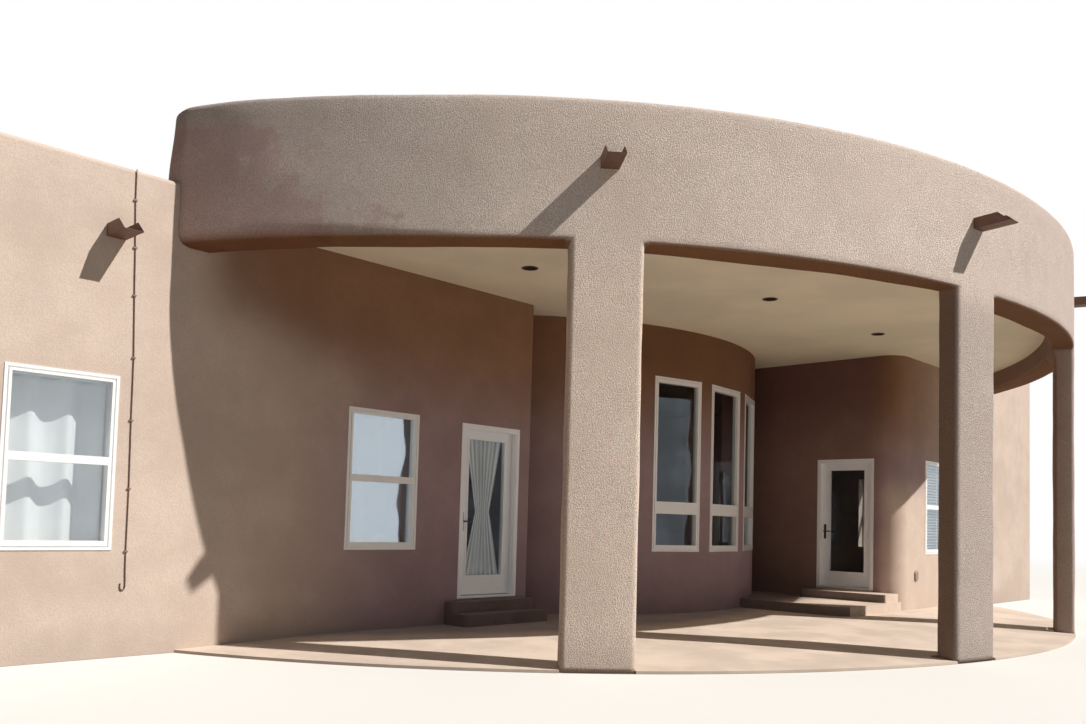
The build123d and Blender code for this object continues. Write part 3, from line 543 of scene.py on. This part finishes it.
def cloth_finish(name, colour, threads):
    """Plain weave from the cloth's own map, with soft clouds and painted shade in the folds'
    valleys.
    """
    finish = Finish(name, Roughness=0.92, Sheen_Weight=0.25, Sheen_Roughness=0.5)
    place = finish.place()
    flat = finish.add("ShaderNodeTexCoord", out="UV")
    warp = finish.add("ShaderNodeTexWave", {"wave_type": "BANDS", "bands_direction": "X"}, {
        "Vector": flat, "Scale": threads})
    weft = finish.add("ShaderNodeTexWave", {"wave_type": "BANDS", "bands_direction": "Y"}, {
        "Vector": flat, "Scale": threads})
    weave = warp * 0.5 + weft * 0.5
    clouds = finish.cloud(place, 5.0, 3.0)
    worn = weave * 0.3 + finish.between(clouds, 0.3, 0.7) * 0.3
    woven = finish.mixed(worn, colour, scaled(colour, 0.86))
    painted_fold_shade = finish.add("ShaderNodeAttribute", {"attribute_name": "painted_fold_shade"}, out="Fac")
    finish.set(finish.shader, {
        "Base Color": finish.mixed(painted_fold_shade, woven, scaled(colour, 0.25)),
        "Normal": finish.relief(weave, 0.0006, 0.5)})
    return finish.material


def rubber_finish(name, colour):
    """Cable jacket, greyed in places."""
    finish = Finish(name, Roughness=0.6)
    place = finish.place()
    clouds = finish.cloud(place, 16.0, 3.0)
    finish.set(finish.shader, {
        "Base Color": finish.mixed(finish.between(clouds, 0.4, 0.7), colour, scaled(colour, 1.4)),
        "Normal": finish.relief(finish.cloud(place, 500.0), 0.0005, 0.4)})
    return finish.material


def glass_finish(name, tint, least, dirt, lean):
    """See-through glass, with gloss that grows at a slant, dust, and panes out of true."""
    finish = Finish(name, Base_Color=(0.80, 0.90, 1.0), Metallic=1.0)
    place = finish.place()
    dust = finish.between(finish.cloud(place, 2.2, 4.0, 0.6), 0.4, 0.75) * dirt
    clear = finish.add("ShaderNodeBsdfTransparent", None, {"Color": tint}, out="BSDF")
    slant = finish.add("ShaderNodeLayerWeight", None, {"Blend": 0.5}, out="Facing")
    along = finish.part(place, 1)
    if lean:
        shaded = finish.between(along, -8.2, -7.0) * (1.0 - finish.between(along, -4.6, -3.0))
        least = least + shaded * 0.2
    bow = finish.cloud(place, 1.3, 1.0, 0.4)
    finish.set(finish.shader, {
        "Roughness": 0.02 + dust * 0.3,
        "Normal": finish.relief(along * lean + bow * 0.006, 1.0)})
    gloss = Value(finish, finish.shader.outputs[0])
    share = finish.add("ShaderNodeMixShader", None, {
        0: least + dust + slant ** 5.0 * 0.8, 1: clear, 2: gloss})
    finish.set(finish.output, {"Surface": share})
    return finish.material


FINISHES = {}


def make_finishes(colours):
    FINISHES.update({
        "stucco": stucco_finish("stucco", tuple(colours.stucco), 0.05, 60.0, 0.004),
        "dash": stucco_finish("dash_stucco", tuple(colours.dash), 0.2, 92.0, 0.026, turned_away),
        "concrete": concrete_finish("concrete", tuple(colours.slab)),
        "roofing": roofing_finish("roofing", tuple(colours.roofing)),
        "ceiling_plaster": plaster_finish("ceiling_plaster", tuple(colours.plaster)),
        "white_vinyl": moulded_finish("white_vinyl", tuple(colours.frames), 0.35, 0.12),
        "white_paint": moulded_finish("white_paint", tuple(colours.doors), 0.32, 0.12),
        "white_plastic": moulded_finish("white_plastic", scaled(colours.doors, 1.04), 0.4, 0.15),
        "brown_plastic": moulded_finish("brown_plastic", from_display(122, 92, 70), 0.5, 0.4),
        "black_metal": metal_finish("black_metal", from_display(38, 34, 31), 0.3, 0.1),
        "bronze_metal": metal_finish("bronze_metal", from_display(74, 54, 42), 0.4, 0.2),
        "brown_sheet_metal": metal_finish(
            "brown_sheet_metal", tuple(colours.sheet_metal), 0.5, 0.5),
        "white_cloth": cloth_finish("white_cloth", tuple(colours.cloth), 280.0),
        "brown_cable": rubber_finish("brown_cable", from_display(98, 70, 54)),
        "step_concrete": concrete_finish("step_concrete", tuple(colours.slab), True),
        "glass": glass_finish("window_glass", (0.97, 0.98, 0.97), 0.15, 0.02, 0.05),
        "dark_glass": glass_finish("dark_glass", (0.88, 0.90, 0.90), 0.035, 0.02, 0.0),
        "door_glass": glass_finish("door_glass", (0.95, 0.98, 1.0), 0.008, 0.012, 0.0),
    })


# ------------------------------------------------------------------ pieces

def finished(name, bm, body, finish, stands_for=(), smooth=True):
    """Makes a piece of the mesh that was built, and says what it rides on and stands for."""
    mesh = bpy.data.meshes.new(name)
    bm.to_mesh(mesh)
    bm.free()
    mesh.materials.append(FINISHES[finish])
    piece = bpy.data.objects.new(name, mesh)
    bpy.context.scene.collection.objects.link(piece)
    if smooth:
        for face in mesh.polygons:
            face.use_smooth = True
    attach(piece, body)
    if stands_for:
        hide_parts(*stands_for)
    return piece


def merged_copy(node):
    """A node's mesh of loose triangles, as one closed mesh."""
    bm = bmesh.new()
    bm.from_mesh(frame["nodes"][node].data)
    bmesh.ops.remove_doubles(bm, verts=bm.verts, dist=1e-5)
    return bm


def level(place):
    return Vector((place.x, place.y, 0))


def everything(bm):
    return bm.verts[:] + bm.edges[:] + bm.faces[:]


def swung(bm, geometry, degrees, step):
    """Carries a section round the room's centre, in even steps, and returns its far end."""
    steps = max(1, round(abs(degrees) / step))
    made = bmesh.ops.spin(
        bm, geom=geometry, cent=(0, 0, 0), axis=(0, 0, 1), dvec=(0, 0, 0),
        angle=math.radians(degrees), steps=steps, use_merge=False, use_duplicate=False)
    return made["geom_last"]


def sliced(bm, point, normal, part=None, drop=None):
    """Cuts along a plane, and drops what is beyond it if asked."""
    geometry = part if part is not None else everything(bm)
    return bmesh.ops.bisect_plane(
        bm, geom=geometry, dist=1e-5, plane_co=point, plane_no=normal,
        clear_inner=drop == "behind", clear_outer=drop == "before")


def in_region(bm, test):
    """All the geometry whose middle passes the test, in the same order each run."""
    faces = [f for f in bm.faces if test(f.calc_center_median())]
    edges = dict.fromkeys(e for f in faces for e in f.edges)
    verts = dict.fromkeys(v for f in faces for v in f.verts)
    return [*verts, *edges, *faces]


def put_in_order(bm):
    """Makes the mesh again in a fixed order, because spin, extrude and bevel vary it by run."""
    verts = sorted(bm.verts, key=lambda vert: tuple(vert.co))
    for number, vert in enumerate(verts):
        vert.index = number
    rings = sorted(([vert.index for vert in face.verts] for face in bm.faces), key=sorted)
    places = [vert.co.copy() for vert in verts]
    bm.clear()
    made = [bm.verts.new(place) for place in places]
    for ring in rings:
        bm.faces.new([made[number] for number in ring])
    bm.normal_update()


def rounded(bm, edges, size, segments):
    bmesh.ops.bevel(bm, geom=edges, offset=size, offset_type="OFFSET", segments=segments,
                    profile=0.5, affect="EDGES", material=-1, clamp_overlap=True)


def wander(point, size, offset):
    """Smooth noise from -1 to 1 whose lumps are as wide as size, in metres."""
    return noise.noise(point / size + Vector((offset, offset * 0.7, -offset)))


def trowelled(point, reach):
    """How far a hand-trowelled face lies off its true surface, from -reach to reach."""
    drawn_out = Vector((point.x * 0.45, point.y * 0.45, point.z))
    swell = (0.42 * wander(drawn_out, 0.5, 3.0) + 0.3 * wander(point, 0.8, 7.0)
             + 0.2 * wander(point, 0.3, 5.0) + 0.08 * wander(point, 0.12, 11.0))
    return 1.5 * reach * swell


def still_at(distance, width=0.35):
    """0 at a joint with another wall, and 1 beyond its width."""
    t = max(0.0, min(1.0, distance / width))
    return t * t * (3 - 2 * t)


# How far the ring's lower inner edge lies outside its circle: degrees along it, and metres.
INNER_EDGE = ((-67, 0.16), (-60, 0.09), (-52, -0.01), (-43, 0.02), (-30, -0.05), (-20, 0.03),
              (-13, 0.10), (-9, -0.10), (0, -0.05), (12, 0.08), (20, 0.0), (60, 0.0))


def inner_edge(degrees):
    for (start, first), (end, second) in zip(INNER_EDGE, INNER_EDGE[1:]):
        if degrees < end:
            return first + (second - first) * still_at(degrees - start, end - start)
    return 0.0


def swung_ring(sizes):
    """The ring's section swung round, with the columns drawn down from it."""
    outer, inner = sizes.ring_radius, sizes.ring_radius - sizes.ring_thickness
    half = math.degrees(sizes.column_width) / 2
    step = math.degrees(sizes.grid / outer)

    bm = bmesh.new()
    corners = [turned(outer, RING_START, RING_LOW), turned(outer, RING_START, RING_HIGH),
               turned(inner, RING_START, RING_HIGH), turned(inner, RING_START, RING_LOW)]
    verts = [bm.verts.new(corner) for corner in corners]
    edges = [bm.edges.new((verts[i], verts[(i + 1) % 4])) for i in range(4)]
    section = swung(bm, verts + edges, FINE_STRETCH, math.degrees(FINE_GRID / outer))
    here = RING_START + FINE_STRETCH
    for middle in COLUMN_MIDDLES:
        section = swung(bm, section, middle - half - here, step)
        section = swung(bm, section, 2 * half, step)
        here = middle + half
    swung(bm, section, RING_FINISH - here, step)
    bmesh.ops.recalc_face_normals(bm, faces=bm.faces)

    def column_face(face):
        middle = face.calc_center_median()
        angle = math.degrees(math.atan2(middle.y, middle.x))
        under = abs(middle.z - RING_LOW) < 1e-4
        return under and any(abs(angle - m) < half - 0.01 for m in COLUMN_MIDDLES)

    feet = [face for face in bm.faces if column_face(face)]
    drawn = bmesh.ops.extrude_face_region(bm, geom=feet)
    bmesh.ops.delete(bm, geom=feet, context="FACES_ONLY")
    down = [g for g in drawn["geom"] if isinstance(g, bmesh.types.BMVert)]
    bmesh.ops.translate(bm, verts=down, vec=(0, 0, -RING_LOW))
    bmesh.ops.remove_doubles(bm, verts=bm.verts, dist=1e-5)
    bmesh.ops.recalc_face_normals(bm, faces=bm.faces)
    put_in_order(bm)
    return bm


def trim_ring(bm, sizes):
    """Rounds the ring's edges, trims it at the walls, and divides it into a fine grid."""
    def sharp(edge):
        return len(edge.link_faces) == 2 and edge.is_convex and edge.calc_face_angle() > 1.0

    tops = [e for e in bm.edges if sharp(e) and all(v.co.z > RING_HIGH - 1e-4 for v in e.verts)]
    rounded(bm, tops, sizes.ring_top_rounding, 5)
    others = [e for e in bm.edges if sharp(e) and any(v.co.z > 1e-4 for v in e.verts)]
    rounded(bm, others, sizes.column_rounding, 4)
    put_in_order(bm)

    sliced(bm, (RING_END, 0, 0), (1, 0, 0), drop="behind")
    right = in_region(bm, lambda c: c.y > 3.5)
    sliced(bm, (SIDE_FACE, 0, 0), (1, 0, 0), right, drop="behind")
    levels = int((RING_HIGH - 0.07) / sizes.grid)
    for i in range(1, levels):
        sliced(bm, (0, 0, i * sizes.grid), (0, 0, 1))
    bmesh.ops.recalc_face_normals(bm, faces=bm.faces)
    bm.normal_update()


def trowel_move(place, normal, sizes):
    """How far the trowel carries one point of the ring. It stays within its true surface."""
    reach = sizes.waviness / 2
    along = normal * trowelled(place, reach)
    sunk = -level(place).normalized() * reach * 1.1
    if place.z > RING_HIGH - 0.08:
        sunk.z -= reach * 1.1
    if place.z < 1e-4:
        along.z = 0
    hold = still_at(place.x - SIDE_FACE, 0.2) if place.y > 4.5 else 1.0
    return (along + sunk) * hold


def end_move(place, sizes):
    """How far the ring's left end is rounded and swollen by the low wing's wall."""
    outward = level(place).normalized()
    inset = sizes.ring_radius - level(place).length
    turn, move = sizes.ring_end_rounding, Vector()
    short = turn - (place.x - RING_END)
    if place.y < -7 and short > 0:
        drawn_in = turn - math.sqrt(max(0.0, turn * turn - short * short))
        move -= outward * drawn_in * max(0.0, 1 - inset / turn)
        move.z -= 0.15 * drawn_in * max(0.0, 1 - (RING_HIGH - place.z) / turn)
    if place.y < -6 and inset < sizes.ring_thickness / 2:
        over = 0.2 + 0.4 * still_at(place.z - WING_TOP, RING_HIGH - WING_TOP)
        swell = still_at(5.4 - place.x, 2.2) - over * still_at(WALL_FACE - place.x, 0.3)
        move += outward * sizes.ring_end_flare * swell
    if place.y < -5.9 and place.z >= RING_LOW - 1e-4:
        bend = sizes.ring_end_bend * still_at(-5.9 - place.y, 1.5)
        rise = place.z - RING_LOW
        if rise < bend and inset < bend:
            cut = bend - math.sqrt(bend * bend - (bend - rise) ** 2)
            move -= outward * cut * (1 - inset / bend)
    return move


def inner_move(place, sizes):
    """How far the columns' inner faces and the ring's lower inner edge lie off their circle."""
    inset = sizes.ring_radius - level(place).length
    if inset <= sizes.ring_thickness / 2 or place.z >= RING_LOW + 0.24:
        return Vector()
    degrees = math.degrees(math.atan2(place.y, place.x))
    column = still_at(RING_LOW - place.z, 0.15)
    beam = (1 - still_at(place.z - RING_LOW, 0.24)) * (1 - column)
    out = column * sizes.column_slimming + beam * inner_edge(degrees)
    return level(place).normalized() * out


def sag_move(place):
    """How far the ring's lower edge sinks towards the left, and the columns with it."""
    sag = 0.022 * still_at(1.5 - place.y, 4.0) + 0.018 * still_at(-5.6 - place.y, 2.0)
    if place.z < RING_LOW:
        return Vector((0, 0, -sag * place.z / RING_LOW))
    return Vector((0, 0, -sag * (1 - still_at(place.z - RING_LOW, 0.6))))


def mark_ring(bm):
    """Marks where the ring faces in, down or away from the midday light, as the weight of its
    painted shade.
    """
    mark = bm.verts.layers.float.new("turned_away")
    for vert in bm.verts:
        outward = level(vert.co).normalized()
        inward = -vert.normal.dot(outward) * 1.3 - 0.16 if vert.co.z < RING_HIGH - 0.9 else 0.0
        deepest = 0.42 + 0.33 * still_at(vert.co.y + 4.5, 1.5)
        shaded = min(deepest, -vert.normal.dot(SUNNY_SIDE) * 1.3)
        vert[mark] = min(1.0, max(0.0, min(0.66, inward), shaded, -vert.normal.z * 1.2))


class HOUSE_OT_ring(bpy.types.Operator):
    """Porch ring and its three columns, in one body of coarse stucco"""
    bl_idname = "house.ring"
    bl_label = "Porch ring"

    def execute(self, context):
        sizes = context.scene.house_sizes
        bm = swung_ring(sizes)
        trim_ring(bm, sizes)
        moves = [trowel_move(vert.co, vert.normal, sizes) + end_move(vert.co, sizes)
                 + inner_move(vert.co, sizes) + sag_move(vert.co) for vert in bm.verts]
        for vert, move in zip(bm.verts, moves):
            vert.co += move
        bmesh.ops.holes_fill(bm, edges=[e for e in bm.edges if e.is_boundary], sides=0)
        bmesh.ops.recalc_face_normals(bm, faces=bm.faces)
        bm.normal_update()
        mark_ring(bm)
        finished("porch_ring", bm, "house", "dash",
                 ["porch_beam_1", "porch_beam_2", "porch_beam_3", "porch_beam_4",
                  "porch_column_1", "porch_column_2", "porch_column_3"])
        return {"FINISHED"}


class HOUSE_OT_porch_wall(bpy.types.Operator):
    """The high front wall behind the porch, trimmed where the ring runs over it"""
    bl_idname = "house.porch_wall"
    bl_label = "Porch wall"

    def execute(self, context):
        bm = merged_copy("front_wall_high")
        cut = WING_TOP - 0.12
        sliced(bm, (0, 0, cut), (0, 0, 1))
        sliced(bm, (0, -7.6, 0), (0, 1, 0))
        wedge = [f for f in bm.faces
                 if f.calc_center_median().z > cut and f.calc_center_median().y < -7.6]
        bmesh.ops.delete(bm, geom=wedge, context="FACES")
        bmesh.ops.holes_fill(bm, edges=[e for e in bm.edges if e.is_boundary], sides=0)
        bmesh.ops.recalc_face_normals(bm, faces=bm.faces)
        finished("porch_wall", bm, "house", "stucco", ["front_wall_high"],
                 smooth=False)
        return {"FINISHED"}


class HOUSE_OT_drapes(bpy.types.Operator):
    """White drapes behind the two front windows"""
    bl_idname = "house.drapes"
    bl_label = "Window drapes"

    def execute(self, context):
        sizes = context.scene.house_sizes
        low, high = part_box("window_curtains")
        middle, waves = (low.x + high.x) / 2, 3
        half = sizes.pleat_depth / 2
        windows = ((low.y, low.y + 0.909), (high.y - 0.941, high.y))
        for number, (left, right) in enumerate(windows, 1):
            bm = bmesh.new()
            bmesh.ops.create_grid(
                bm, x_segments=waves * 24, y_segments=36, size=0.5, calc_uvs=True)
            painted_fold_shade = bm.verts.layers.float.new("painted_fold_shade")
            for vert in bm.verts:
                u, v = vert.co.x + 0.5, vert.co.y + 0.5
                lean = 0.35 * wander(Vector((u * 3, v * 1.1, 0)), 1.0, number * 4.0)
                turn = 2 * math.pi * waves * u + lean * (1 - u) - 1.35
                fold = 0.86 * math.sin(turn) + 0.14 * math.sin(2 * turn + 0.8)
                crease = 0.10 * wander(Vector((u * 11, v * 1.5, 3.0)), 1.0, number + 2.0)
                # Painted shade: the back valleys of the pleats are darker.
                vert[painted_fold_shade] = 0.10 * (0.5 + 0.5 * max(-1.0, min(1.0, fold)))
                hem = 0.004 * wander(Vector((u * 5, 0, 0)), 1.0, number * 1.0) * (1 - v)
                vert.co = Vector((middle - half * 0.95 * (fold + crease) * (0.92 + 0.08 * (1 - v)),
                                  left + (right - left) * u,
                                  low.z + 0.006 + (high.z - low.z - 0.006) * v + hem))
            piece = finished(f"window_drape_{number}", bm, "house", "white_cloth",
                             ["window_curtains"])
            thick = piece.modifiers.new("Thickness", "SOLIDIFY")
            thick.thickness = sizes.cloth_thickness
            thick.offset = 0
        return {"FINISHED"}


class HOUSE_OT_sheer(bpy.types.Operator):
    """Sheer curtain on the first door, tied at its middle"""
    bl_idname = "house.sheer"
    bl_label = "Door sheer"

    def execute(self, context):
        sizes = context.scene.house_sizes
        low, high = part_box("door_1_curtain")
        middle = (low.y + high.y) / 2
        half = (high.y - low.y) / 2 - 0.004
        tie, tied = high.z - 0.53 * (high.z - low.z), 0.115
        pleats = 8
        deep = (high.x - low.x) / 2 - sizes.cloth_thickness / 2 - 0.0002
        bm = bmesh.new()
        bmesh.ops.create_grid(bm, x_segments=pleats * 16, y_segments=60, size=0.5, calc_uvs=True)
        painted_fold_shade = bm.verts.layers.float.new("painted_fold_shade")
        for vert in bm.verts:
            u, v = 2 * vert.co.x, vert.co.y + 0.5
            z = low.z + (high.z - low.z) * v
            reach = (high.z - tie) if z > tie else (tie - low.z)
            away = min(1.0, abs(z - tie) / reach)
            spread = tied + (half - tied) * away ** 0.95
            turn = math.pi * pleats * u + 1.6 * wander(Vector((u * 4, v * 1.2, 0)), 1.0, 5.0)
            fold = max(-1.0, min(1.0, 1.15 * math.sin(turn) + 0.25 * math.sin(2.3 * turn + 1)))
            x = (low.x + high.x) / 2 + deep * fold * (0.75 + 0.25 * away)
            slip = 0.3 * spread / pleats * math.cos(turn)
            side = max(-half, min(half, spread * u + slip * (1 - abs(u))))
            depth = 0.5 + 0.35 * wander(Vector((u * 5, v * 1.4, 9.0)), 1.0, 2.0)
            # Painted shade: the valleys of the folds are darker, more in some than in others.
            vert[painted_fold_shade] = depth * still_at(0.45 - fold, 1.3)
            vert.co = Vector((x, middle + side, z))
        piece = finished("door_1_sheer", bm, "door_1", "white_cloth",
                         ["door_1_curtain"])
        thick = piece.modifiers.new("Thickness", "SOLIDIFY")
        thick.thickness = sizes.cloth_thickness
        thick.offset = 0
        return {"FINISHED"}


class HOUSE_OT_spouts(bpy.types.Operator):
    """Roof spouts folded with parallel sides"""
    bl_idname = "house.spouts"
    bl_label = "Roof spouts"

    def execute(self, context):
        sizes = context.scene.house_sizes
        low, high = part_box("wall_canale")
        half, flare, length = 0.085, 0.031, 0.38
        for node, piece in (("wall_canale", "wall_spout"), ("porch_canales", "ring_spouts")):
            bm = merged_copy(node)
            for vert in bm.verts:
                place = level(vert.co)
                if node == "wall_canale":
                    ahead = Vector((1, 0, 0))
                    out, middle = place.x - WALL_FACE, Vector((0, (low.y + high.y) / 2, 0))
                else:
                    around = math.degrees(math.atan2(place.y, place.x))
                    nearest = min(COLUMN_MIDDLES, key=lambda m: abs(m - around))
                    ahead = turned(1.0, nearest, 0)
                    out, middle = place.dot(ahead) - sizes.ring_radius, Vector((0, 0, 0))
                if out > 0:
                    across = Vector((-ahead.y, ahead.x, 0))
                    aside = (place - middle).dot(across)
                    vert.co -= across * aside * (1 - half / (half + flare * out / length))
            bmesh.ops.recalc_face_normals(bm, faces=bm.faces)
            finished(piece, bm, "house", "brown_sheet_metal", [node],
                     smooth=False)
        return {"FINISHED"}


class HOUSE_OT_finishes(bpy.types.Operator):
    """Gives every part of the frame its finish"""
    bl_idname = "house.finishes"
    bl_label = "Finishes"

    def execute(self, context):
        make_finishes(context.scene.house_colours)
        slots = {part["node"]: part["material_slot"] for part in frame["record"]["subparts"]}
        own = {"door_1_steps": "step_concrete", "door_2_steps": "step_concrete",
               "door_1_glass": "door_glass", "door_2_glass": "door_glass",
               "bay_window_glass": "dark_glass"}
        for name, node in frame["nodes"].items():
            finish = FINISHES[own.get(name, slots[name])]
            for place in node.material_slots:
                place.material = finish
        return {"FINISHED"}


# ------------------------------------------------------------------- stage

def camera_matrix():
    """Where the photograph was taken from: place, turn, rise and lean."""
    place = Vector((11.688, -11.852, 1.2935))
    turn, rise, lean = (math.radians(a) for a in (43.665, 3.167, 1.601))
    right = Vector((math.cos(turn), math.sin(turn), 0))
    ahead = Vector((-math.sin(turn) * math.cos(rise), math.cos(turn) * math.cos(rise),
                    math.sin(rise)))
    up = right.cross(ahead)
    across = math.cos(lean) * right + math.sin(lean) * up
    upward = -math.sin(lean) * right + math.cos(lean) * up
    turned_to = Matrix((across, upward, -ahead)).transposed().to_4x4()
    return Matrix.Translation(place) @ turned_to


class HOUSE_OT_camera(bpy.types.Operator):
    """Camera at the photograph's viewing angle"""
    bl_idname = "house.camera"
    bl_label = "Camera"

    def execute(self, context):
        data = bpy.data.cameras.new("camera")
        data.lens = context.scene.house_stage.lens
        data.sensor_fit = "HORIZONTAL"
        data.sensor_width = 36.0
        data.shift_y = 0.0994
        data.clip_end = 500.0
        camera = bpy.data.objects.new("camera", data)
        context.scene.collection.objects.link(camera)
        camera.matrix_world = camera_matrix()
        context.scene.camera = camera
        return {"FINISHED"}


class HOUSE_OT_stage(bpy.types.Operator):
    """Plain pale floor, main lamp and fill"""
    bl_idname = "house.stage"
    bl_label = "Stage"

    def execute(self, context):
        stage = context.scene.house_stage
        context.scene.view_settings.view_transform = "Standard"

        bm = bmesh.new()
        bmesh.ops.create_circle(bm, cap_ends=True, radius=160.0, segments=96)
        bmesh.ops.translate(bm, verts=bm.verts, vec=(0, 0, -0.002))
        mesh = bpy.data.meshes.new("floor")
        bm.to_mesh(mesh)
        bm.free()
        floor = bpy.data.objects.new("floor", mesh)
        context.scene.collection.objects.link(floor)
        pale = Finish("floor_paint", Base_Color=tuple(stage.floor), Roughness=0.9)
        seen = pale.ray("Camera", "Glossy")
        pale.set(pale.shader, {
            "Base Color": pale.mixed(seen, tuple(stage.floor_return), tuple(stage.floor))})
        glow = pale.add("ShaderNodeEmission", None, {"Color": (1.0, 1.0, 1.0), "Strength": 1.0})
        share = pale.add("ShaderNodeMixShader", None, {
            0: seen * pale.between(pale.away(pale.place()), 16.0, 60.0),
            1: Value(pale, pale.shader.outputs[0]), 2: glow})
        pale.set(pale.output, {"Surface": share})
        mesh.materials.append(pale.material)

        lamp_data = bpy.data.lights.new("main_lamp", "SUN")
        lamp_data.energy = stage.lamp_strength
        lamp_data.angle = stage.lamp_softness
        lamp_data.color = (1.0, 0.975, 0.94)
        lamp = bpy.data.objects.new("main_lamp", lamp_data)
        context.scene.collection.objects.link(lamp)
        lamp.matrix_world = TOWARDS_LAMP.to_track_quat("Z", "Y").to_matrix().to_4x4()

        world = bpy.data.worlds.new("surroundings")
        context.scene.world = world
        world.use_nodes = True
        around = Nodes(world.node_tree)
        around.tree.nodes.clear()
        fill = around.add("ShaderNodeBackground", None, {
            "Color": (0.80, 0.90, 1.0), "Strength": stage.fill})
        white = around.add("ShaderNodeBackground", None, {
            "Color": (1.0, 1.0, 1.0), "Strength": 1.0})
        shown = around.add("ShaderNodeMixShader", None, {
            0: around.ray("Camera", "Glossy", "Transmission"), 1: fill, 2: white})
        around.set(around.tree.nodes.new("ShaderNodeOutputWorld"), {"Surface": shown})
        return {"FINISHED"}


# ------------------------------------------------------------------- panel

STEPS = (HOUSE_OT_camera, HOUSE_OT_finishes, HOUSE_OT_ring, HOUSE_OT_porch_wall,
         HOUSE_OT_drapes, HOUSE_OT_sheer, HOUSE_OT_spouts, HOUSE_OT_stage)


class HOUSE_PT_panel(bpy.types.Panel):
    """The house's settings and its steps"""
    bl_label = "Stucco house"
    bl_idname = "HOUSE_PT_panel"
    bl_space_type = "VIEW_3D"
    bl_region_type = "UI"
    bl_category = "House"

    def draw(self, context):
        for step in STEPS:
            self.layout.operator(step.bl_idname)
        scene = context.scene
        for group in (scene.house_sizes, scene.house_colours, scene.house_stage):
            for key in group.__annotations__:
                self.layout.prop(group, key)


CLASSES = (HouseSizes, HouseColours, StageSettings, *STEPS, HOUSE_PT_panel)


def register():
    for cls in CLASSES:
        bpy.utils.register_class(cls)
    bpy.types.Scene.house_sizes = bpy.props.PointerProperty(type=HouseSizes)
    bpy.types.Scene.house_colours = bpy.props.PointerProperty(type=HouseColours)
    bpy.types.Scene.house_stage = bpy.props.PointerProperty(type=StageSettings)


def unregister():
    del bpy.types.Scene.house_sizes
    del bpy.types.Scene.house_colours
    del bpy.types.Scene.house_stage
    for cls in reversed(CLASSES):
        bpy.utils.unregister_class(cls)


def main():
    register()
    bpy.ops.house.camera()
    bpy.ops.house.finishes()
    bpy.ops.house.ring()
    bpy.ops.house.porch_wall()
    bpy.ops.house.drapes()
    bpy.ops.house.sheer()
    bpy.ops.house.spouts()
    bpy.ops.house.stage()


if __name__ == "__main__":
    main()
